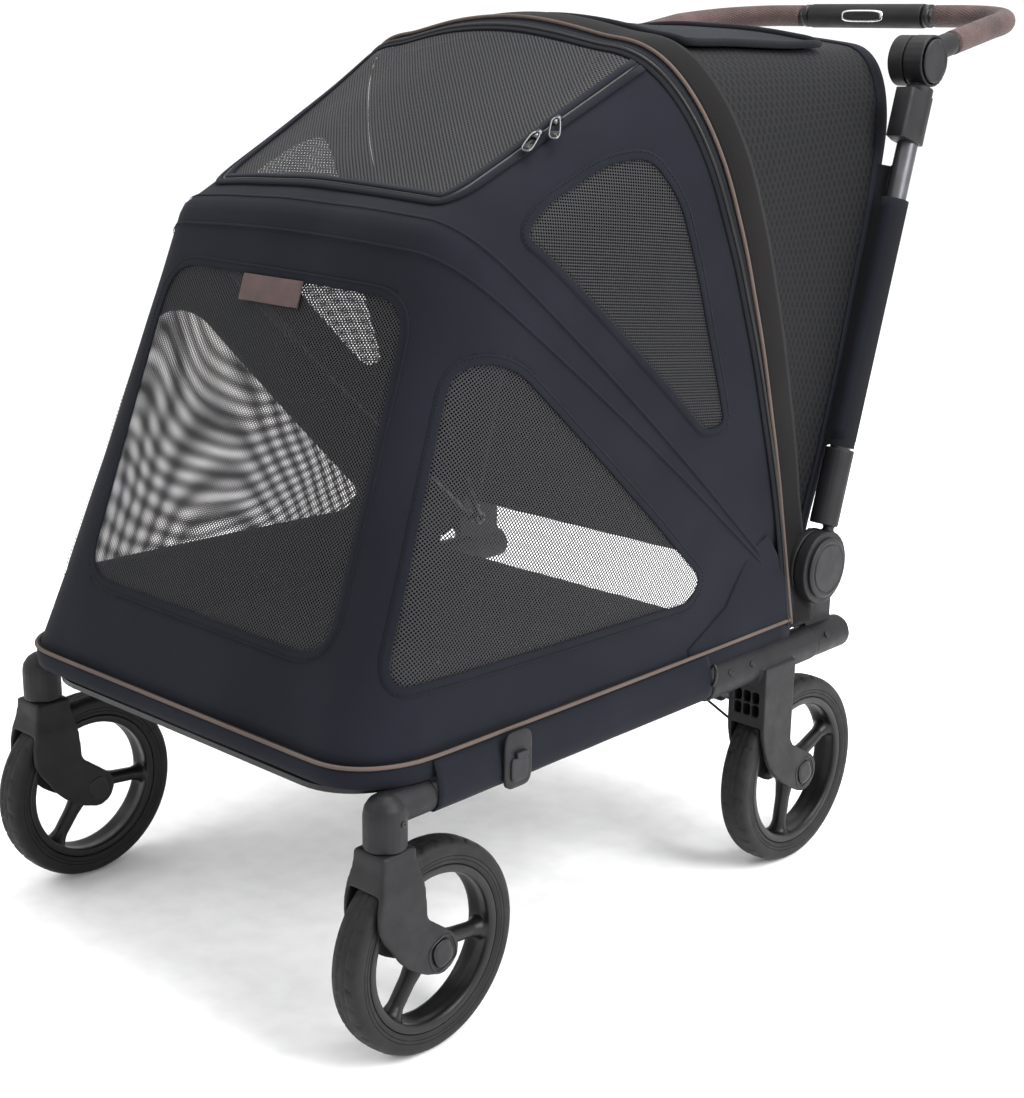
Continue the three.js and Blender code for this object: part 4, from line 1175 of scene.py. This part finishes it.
def back_wall():
    """The upright mesh wall between the arms, pillowed a little by its own stiffness."""
    rim = [Vector(p) for p in GRID[LAST_ROW][::3]]
    middle = sum(rim, Vector()) / len(rim)
    rings, out, uvs = 14, [], []
    for k in range(rings + 1):
        share = 1 - k / rings
        for p in rim:
            q = middle.lerp(p, share * 0.985)
            q.y += 0.004 * math.sin(math.pi * share) - 0.003
            out.append(q)
            uvs.append((q.x, q.z))
    faces = turned(joined(rings + 1, len(rim)))
    obj = make("back_wall_mesh", out, faces, AIR, slot="air_mesh", uvs=uvs)
    cleaned(obj, 1e-6, outward=False)
    return obj


wall = back_wall()
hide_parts("rear_wall")
as_sheet(wall, laid_flat(wall))

flap_c0, flap_c1 = N_LEG + N_CORNER * 0.8, LAST_COLUMN - N_LEG - N_CORNER * 0.8
flap_outline = rectangle_cells(flap_c0, flap_c1, 2 * STEPS + 7, 3 * STEPS - 9)
flap = patch("rear_flap", flap_outline, [], CLOTH, "cabin_fabric", lift=0.0075, thickness=0.0016)
as_sheet(flap, (0.62, 0.36))
trim_line("rear_flap_roll", flap_outline, ring(0.0048, 12), TAPE, "cabin_fabric", lift=0.0085, closed=True)

# ---- Blank leather tag --------------------------------------------------------------------------
tag_middle = cell_of(at(0.0, -0.253, 0.745))
tag_origin, tag_up = surface(*tag_middle, 0.0012), normal_at(*tag_middle)
tag_side = Vector((1, 0, 0))
tag_rise = tag_up.cross(tag_side).normalized()
tag_out = []
for x, z in ((-0.048, -0.0145), (0.048, -0.0145), (0.048, 0.0145), (-0.048, 0.0145)):
    tag_out.append(tag_origin + tag_side * x + tag_rise * z)
tag_out += [p + tag_up * 0.0026 for p in tag_out]
tag_faces = [(3, 2, 1, 0), (4, 5, 6, 7), (0, 1, 5, 4), (1, 2, 6, 5), (2, 3, 7, 6), (3, 0, 4, 7)]
tag = edge_rounded(make("blank_tag", tag_out, tag_faces, LEATHER, slot="leather"), 0.0008)
squashed(tag)

# ---- Tray: skirt, piping and rail sleeves --------------------------------------------------------
rim_points = [Vector(p) for p in ROWS[0]]
rim_line = [p for i, p in enumerate(rim_points) if i % 2 == 0]
tray_out = [Vector((p.x, p.y, 0.3195)) for p in rim_line]
tangents, _ = frames_along(tray_out)
outward = [Vector((-t.y, t.x, 0)) for t in tangents]
if outward[len(outward) // 2].y > 0:
    outward = [-o for o in outward]
skirt_out, skirt_uvs = [], []
SKIRT = ((0.0035, 0.3225), (0.0050, 0.315), (0.0052, 0.306), (0.0040, 0.299), (0.0015, 0.2975),
         (0.0015, 0.305),
         (0.0010, 0.3225))
run = 0.0
for i, (p, o) in enumerate(zip(tray_out, outward)):
    if i:
        run += (p - tray_out[i - 1]).length
    for depth, z in SKIRT:
        wobble = 0.0012 * noise.noise(Vector((p.x * 9, p.y * 9, z * 20)))
        skirt_out.append(Vector((p.x, p.y, z)) + o * (depth + wobble))
        skirt_uvs.append((run, z))
skirt_faces = joined(len(tray_out), len(SKIRT)) + end_caps(len(tray_out), len(SKIRT))
skirt = make("tray_skirt", skirt_out, skirt_faces, CLOTH, slot="cabin_fabric", uvs=skirt_uvs)
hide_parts("tray_rim")
pipe_line = [Vector((p.x, p.y, 0.3215)) + o * 0.0052 for p, o in zip(tray_out, outward)]
out, faces, uvs = sweep(pipe_line, ring(0.0021, 12))
make("tray_piping", out, faces, PIPING, slot="cabin_fabric", uvs=uvs)


def foot_gusset(sign):
    """The cloth that closes the corner between the middle arch, the tray and the hinge."""
    outline = ((0.100, 0.3125), (0.100, 0.330), (0.180, 0.362), (0.236, 0.420), (0.272, 0.430),
               (0.300, 0.392),
               (0.322, 0.366), (0.326, 0.336), (0.322, 0.313), (0.300, 0.309))
    centre = Vector((0.262, 0.350))
    out = []
    for share in (1.0, 0.94, 0.8, 0.55, 0.25):
        for y, z in outline:
            q = centre.lerp(Vector((y, z)), share)
            lean = 0.3034 - 0.23 * min(max(0.0, q.y - 0.320), 0.078)
            out.append(at(sign * (lean + 0.0025 * (1 - share**4)), q.x, q.y))
    faces = joined(5, len(outline)) + end_caps(5, len(outline))[1:]
    if sign > 0:
        faces = [face[::-1] for face in faces]
    obj = make(f"foot_gusset_{'right' if sign > 0 else 'left'}", out, faces, CLOTH, slot="cabin_fabric",
               uvs=[(p.y, p.z) for p in out])
    thickened(obj, 0.0016, 0)
    as_sheet(obj, (0.23, 0.13))


def sewn_edge(sign, distance):
    """The point of the cabin's rear edge level with a distance along the push arm."""
    level = arm_point(distance).z
    edge = GRID[LAST_ROW]
    half = edge[: COLUMNS // 2] if sign * edge[0][0] > 0 else edge[COLUMNS // 2 + 1 :]
    return Vector(half[np.abs(half[:, 2] - level).argmin()]) + Vector((sign * 0.004, -0.006, 0))


for side, sign in SIDES:
    foot_gusset(sign)
    sleeve_out, sleeve_uvs = [], []
    section = [(0.309, 0.318), (0.3135, 0.308), (0.3165, 0.296), (0.3180, 0.283), (0.3160, 0.271),
               (0.3090, 0.2635),
               (0.2990, 0.2615), (0.2890, 0.2640), (0.2815, 0.272), (0.2790, 0.282), (0.2805, 0.282),
               (0.2830, 0.273),
               (0.2895, 0.2655), (0.2990, 0.2632), (0.3080, 0.2650), (0.3145, 0.272), (0.3163, 0.283),
               (0.3148, 0.296),
               (0.3118, 0.308), (0.3075, 0.318)]
    stations = 60
    for i in range(stations + 1):
        y = -0.318 + 0.447 * i / stations
        for x, z in section:
            drape = 0.0010 * noise.noise(Vector((y * 14, z * 30, 3.0 + sign)))
            sleeve_out.append(at(sign * (x + drape), y, z))
            sleeve_uvs.append((y, z))
    sleeve_faces = turned(joined(stations + 1, len(section)))
    sleeve_faces += [cap[::-1] for cap in end_caps(stations + 1, len(section))]
    if sign < 0:
        sleeve_faces = [face[::-1] for face in sleeve_faces]
    make(f"rail_sleeve_{side}", sleeve_out, sleeve_faces, CLOTH, slot="cabin_fabric", uvs=sleeve_uvs)

    # The cloth sleeve that ties the rear mesh to the push arm, and its clip.
    arm_sleeve = [arm_point(0.160 + 0.300 * i / 24, sign * TRACK) for i in range(25)]
    out, faces, uvs = sweep(arm_sleeve, ring(0.0165, 28, 1.12), [Vector((0, 1, 0))] * len(arm_sleeve))
    make(f"arm_sleeve_{side}", out, faces, CLOTH, "push_frame", "cabin_fabric", uvs=uvs)
    web_out, web_faces, web_uvs = [], [], []
    for i in range(41):
        along_arm = 0.150 + 0.350 * i / 40
        bare = along_arm > 0.458  # above the sleeve the cloth only meets the inner side of the tube
        edge = sewn_edge(sign, along_arm)
        centre = arm_point(along_arm, sign * TRACK)
        lean = Vector((0, math.cos(ARM_LEAN), -math.sin(ARM_LEAN)))
        reach, turns = (0.0140, (160, 150, 140, 130, 120)) if bare else (0.0178, (110, 80, 50, 20, -10))
        wrap = [centre + (Vector((sign, 0, 0)) * math.cos(a) - lean * math.sin(a)) * reach
                for a in map(math.radians, turns)]
        for k, p in enumerate([edge, edge.lerp(wrap[0], 0.5), *wrap]):
            web_out.append(p)
            web_uvs.append((0.012 * k, along_arm))
    for i in range(40):
        for k in range(6):
            face = (i * 7 + k, i * 7 + k + 1, (i + 1) * 7 + k + 1, (i + 1) * 7 + k)
            web_faces.append(face if sign > 0 else face[::-1])
    web = make(f"arm_web_{side}", web_out, web_faces, TAPE, slot="cabin_fabric", uvs=web_uvs)
    as_sheet(web, (0.09, 0.36))
    clip_line = [arm_point(0.530 + 0.060 * i / 4, sign * TRACK) for i in range(5)]
    clip_profile = [(0.0155, -0.017), (0.0175, -0.012), (0.0175, 0.012), (0.0150, 0.0155), (-0.010, 0.0155),
                    (-0.0135, 0.0135), (-0.016, 0.0), (-0.016, -0.036), (-0.013, -0.040), (0.010, -0.037)]
    out, faces, uvs = sweep(clip_line, clip_profile if sign > 0 else [(-a, b) for a, b in clip_profile][::-1],
                            [Vector((0, 1, 0))] * len(clip_line))
    clip = make(f"arm_clip_{side}", out, faces, PLASTIC, "push_frame", "moulding")
    edge_rounded(clip, 0.0012)

# ---- Hoops and floor ----------------------------------------------------------------------------
for node, body in (("front_hoop", "hoop_front"), ("mid_hoop", "hoop_middle")):
    softened(node, TUBE, body, voxel=0.0016, rounds=8)


def cushion():
    """A quilted pad: crowned between its seams and drawn in at the edge."""
    half, front, back = 0.268, -0.384, 0.286
    nx, ny = 100, 124
    out, faces, uvs = [], [], []
    for layer in (1, -1):
        for j in range(ny + 1):
            y = front + (back - front) * j / ny
            corner = max(0.0, front + 0.064 - y)
            width = half - (0.064 - math.sqrt(max(0.0, 0.064**2 - corner**2)))
            for i in range(nx + 1):
                x = width * (2 * i / nx - 1)
                edge = min(width - abs(x), y - front, back - y)
                crown = math.sqrt(max(0.0, min(1.0, max(edge, 0.0) / 0.03)))
                across = abs(math.sin(math.pi * (x + 0.268) / 0.134)) ** 0.35
                quilt = across * abs(math.sin(math.pi * (y - front) / 0.1675)) ** 0.35
                wrinkle = 0.0006 * noise.noise(Vector((x * 22, y * 22, 1)))
                top = 0.297 + 0.0135 * crown * (0.55 + 0.45 * quilt) + wrinkle
                out.append(at(x, y, top if layer > 0 else 0.2966 - 0.0060 * crown))
                uvs.append((x, y))
    rim = nx + 1
    size = rim * (ny + 1)
    for j in range(ny):
        for i in range(nx):
            a = j * rim + i
            faces.append((a, a + 1, a + rim + 1, a + rim))
            b = a + size
            faces.append((b + rim, b + rim + 1, b + 1, b))
    border = ([(0, i) for i in range(nx)] + [(j, nx) for j in range(ny)] + [(ny, i) for i in range(nx, 0, -1)]
              + [(j, 0) for j in range(ny, 0, -1)])
    for (j, i), (next_j, next_i) in zip(border, border[1:] + border[:1]):
        a, b = j * rim + i, next_j * rim + next_i
        faces.append((a, a + size, b + size, b))
    return make("floor_pad", out, faces, CUSHION, slot="cushion", uvs=uvs)


pad = cushion()
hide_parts("floor_cushion")


def dressed(node, material):
    """Gives a CAD node that stays visible its own material."""
    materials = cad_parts[node].data.materials
    materials.clear()
    materials.append(material)


dressed("floor_board", GLOSS)
for side, _ in SIDES:
    for prefix in ("front", "rear"):
        dressed(f"{prefix}_axle_{side}", STEEL)

# ---- Stage, light and camera --------------------------------------------------------------------
floor = make("floor", [(-60, -60, 0), (60, -60, 0), (60, 60, 0), (-60, 60, 0)], [(0, 1, 2, 3)],
             moulded_material("pale_floor", (0.92, 0.92, 0.925), 0.85, grain=0.0), body=None)

world = bpy.data.worlds.new("studio")
bpy.context.scene.world = world
world.use_nodes = True
world.node_tree.nodes["Background"].inputs[0].default_value = (1.0, 1.0, 1.0, 1)
world.node_tree.nodes["Background"].inputs[1].default_value = 1.1


def softbox(name, position, target, size, power):
    light = bpy.data.lights.new(name, "AREA")
    light.shape = "RECTANGLE"
    light.size, light.size_y = size
    light.energy = power
    obj = bpy.data.objects.new(name, light)
    bpy.context.collection.objects.link(obj)
    obj.location = position
    direction = Vector(target) - Vector(position)
    obj.rotation_euler = direction.to_track_quat("-Z", "Y").to_euler()


softbox("key", (3.3, 0.2, 2.6), (0, 0, 0.5), (2.0, 2.4), 190)
softbox("fill", (-1.6, -3.0, 3.2), (0, -0.1, 0.5), (2.2, 2.2), 40)
softbox("top", (0.4, 0.6, 4.0), (0, 0, 0.7), (2.5, 2.0), 130)

AZIMUTH, ELEVATION, ROLL = math.radians(42.81), math.radians(15.82), math.radians(0.69)
forward = Vector((-math.sin(AZIMUTH) * math.cos(ELEVATION), math.cos(AZIMUTH) * math.cos(ELEVATION),
                  -math.sin(ELEVATION)))
right = Vector((math.cos(AZIMUTH), math.sin(AZIMUTH), 0))
up = right.cross(forward)
rolled_right = right * math.cos(ROLL) + up * math.sin(ROLL)
rolled_up = up * math.cos(ROLL) - right * math.sin(ROLL)
camera_data = bpy.data.cameras.new("camera")
camera_data.lens = 59.93
camera_data.sensor_width = 36
camera_data.sensor_fit = "AUTO"
camera = bpy.data.objects.new("camera", camera_data)
bpy.context.collection.objects.link(camera)
rotation = Matrix((rolled_right, rolled_up, -forward)).transposed()
camera.matrix_world = Matrix.Translation(at(1.506, -1.500, 1.013)) @ rotation.to_4x4()
bpy.context.scene.camera = camera
bpy.context.scene.view_settings.view_transform = "Standard"
bpy.context.scene.view_settings.look = "None"
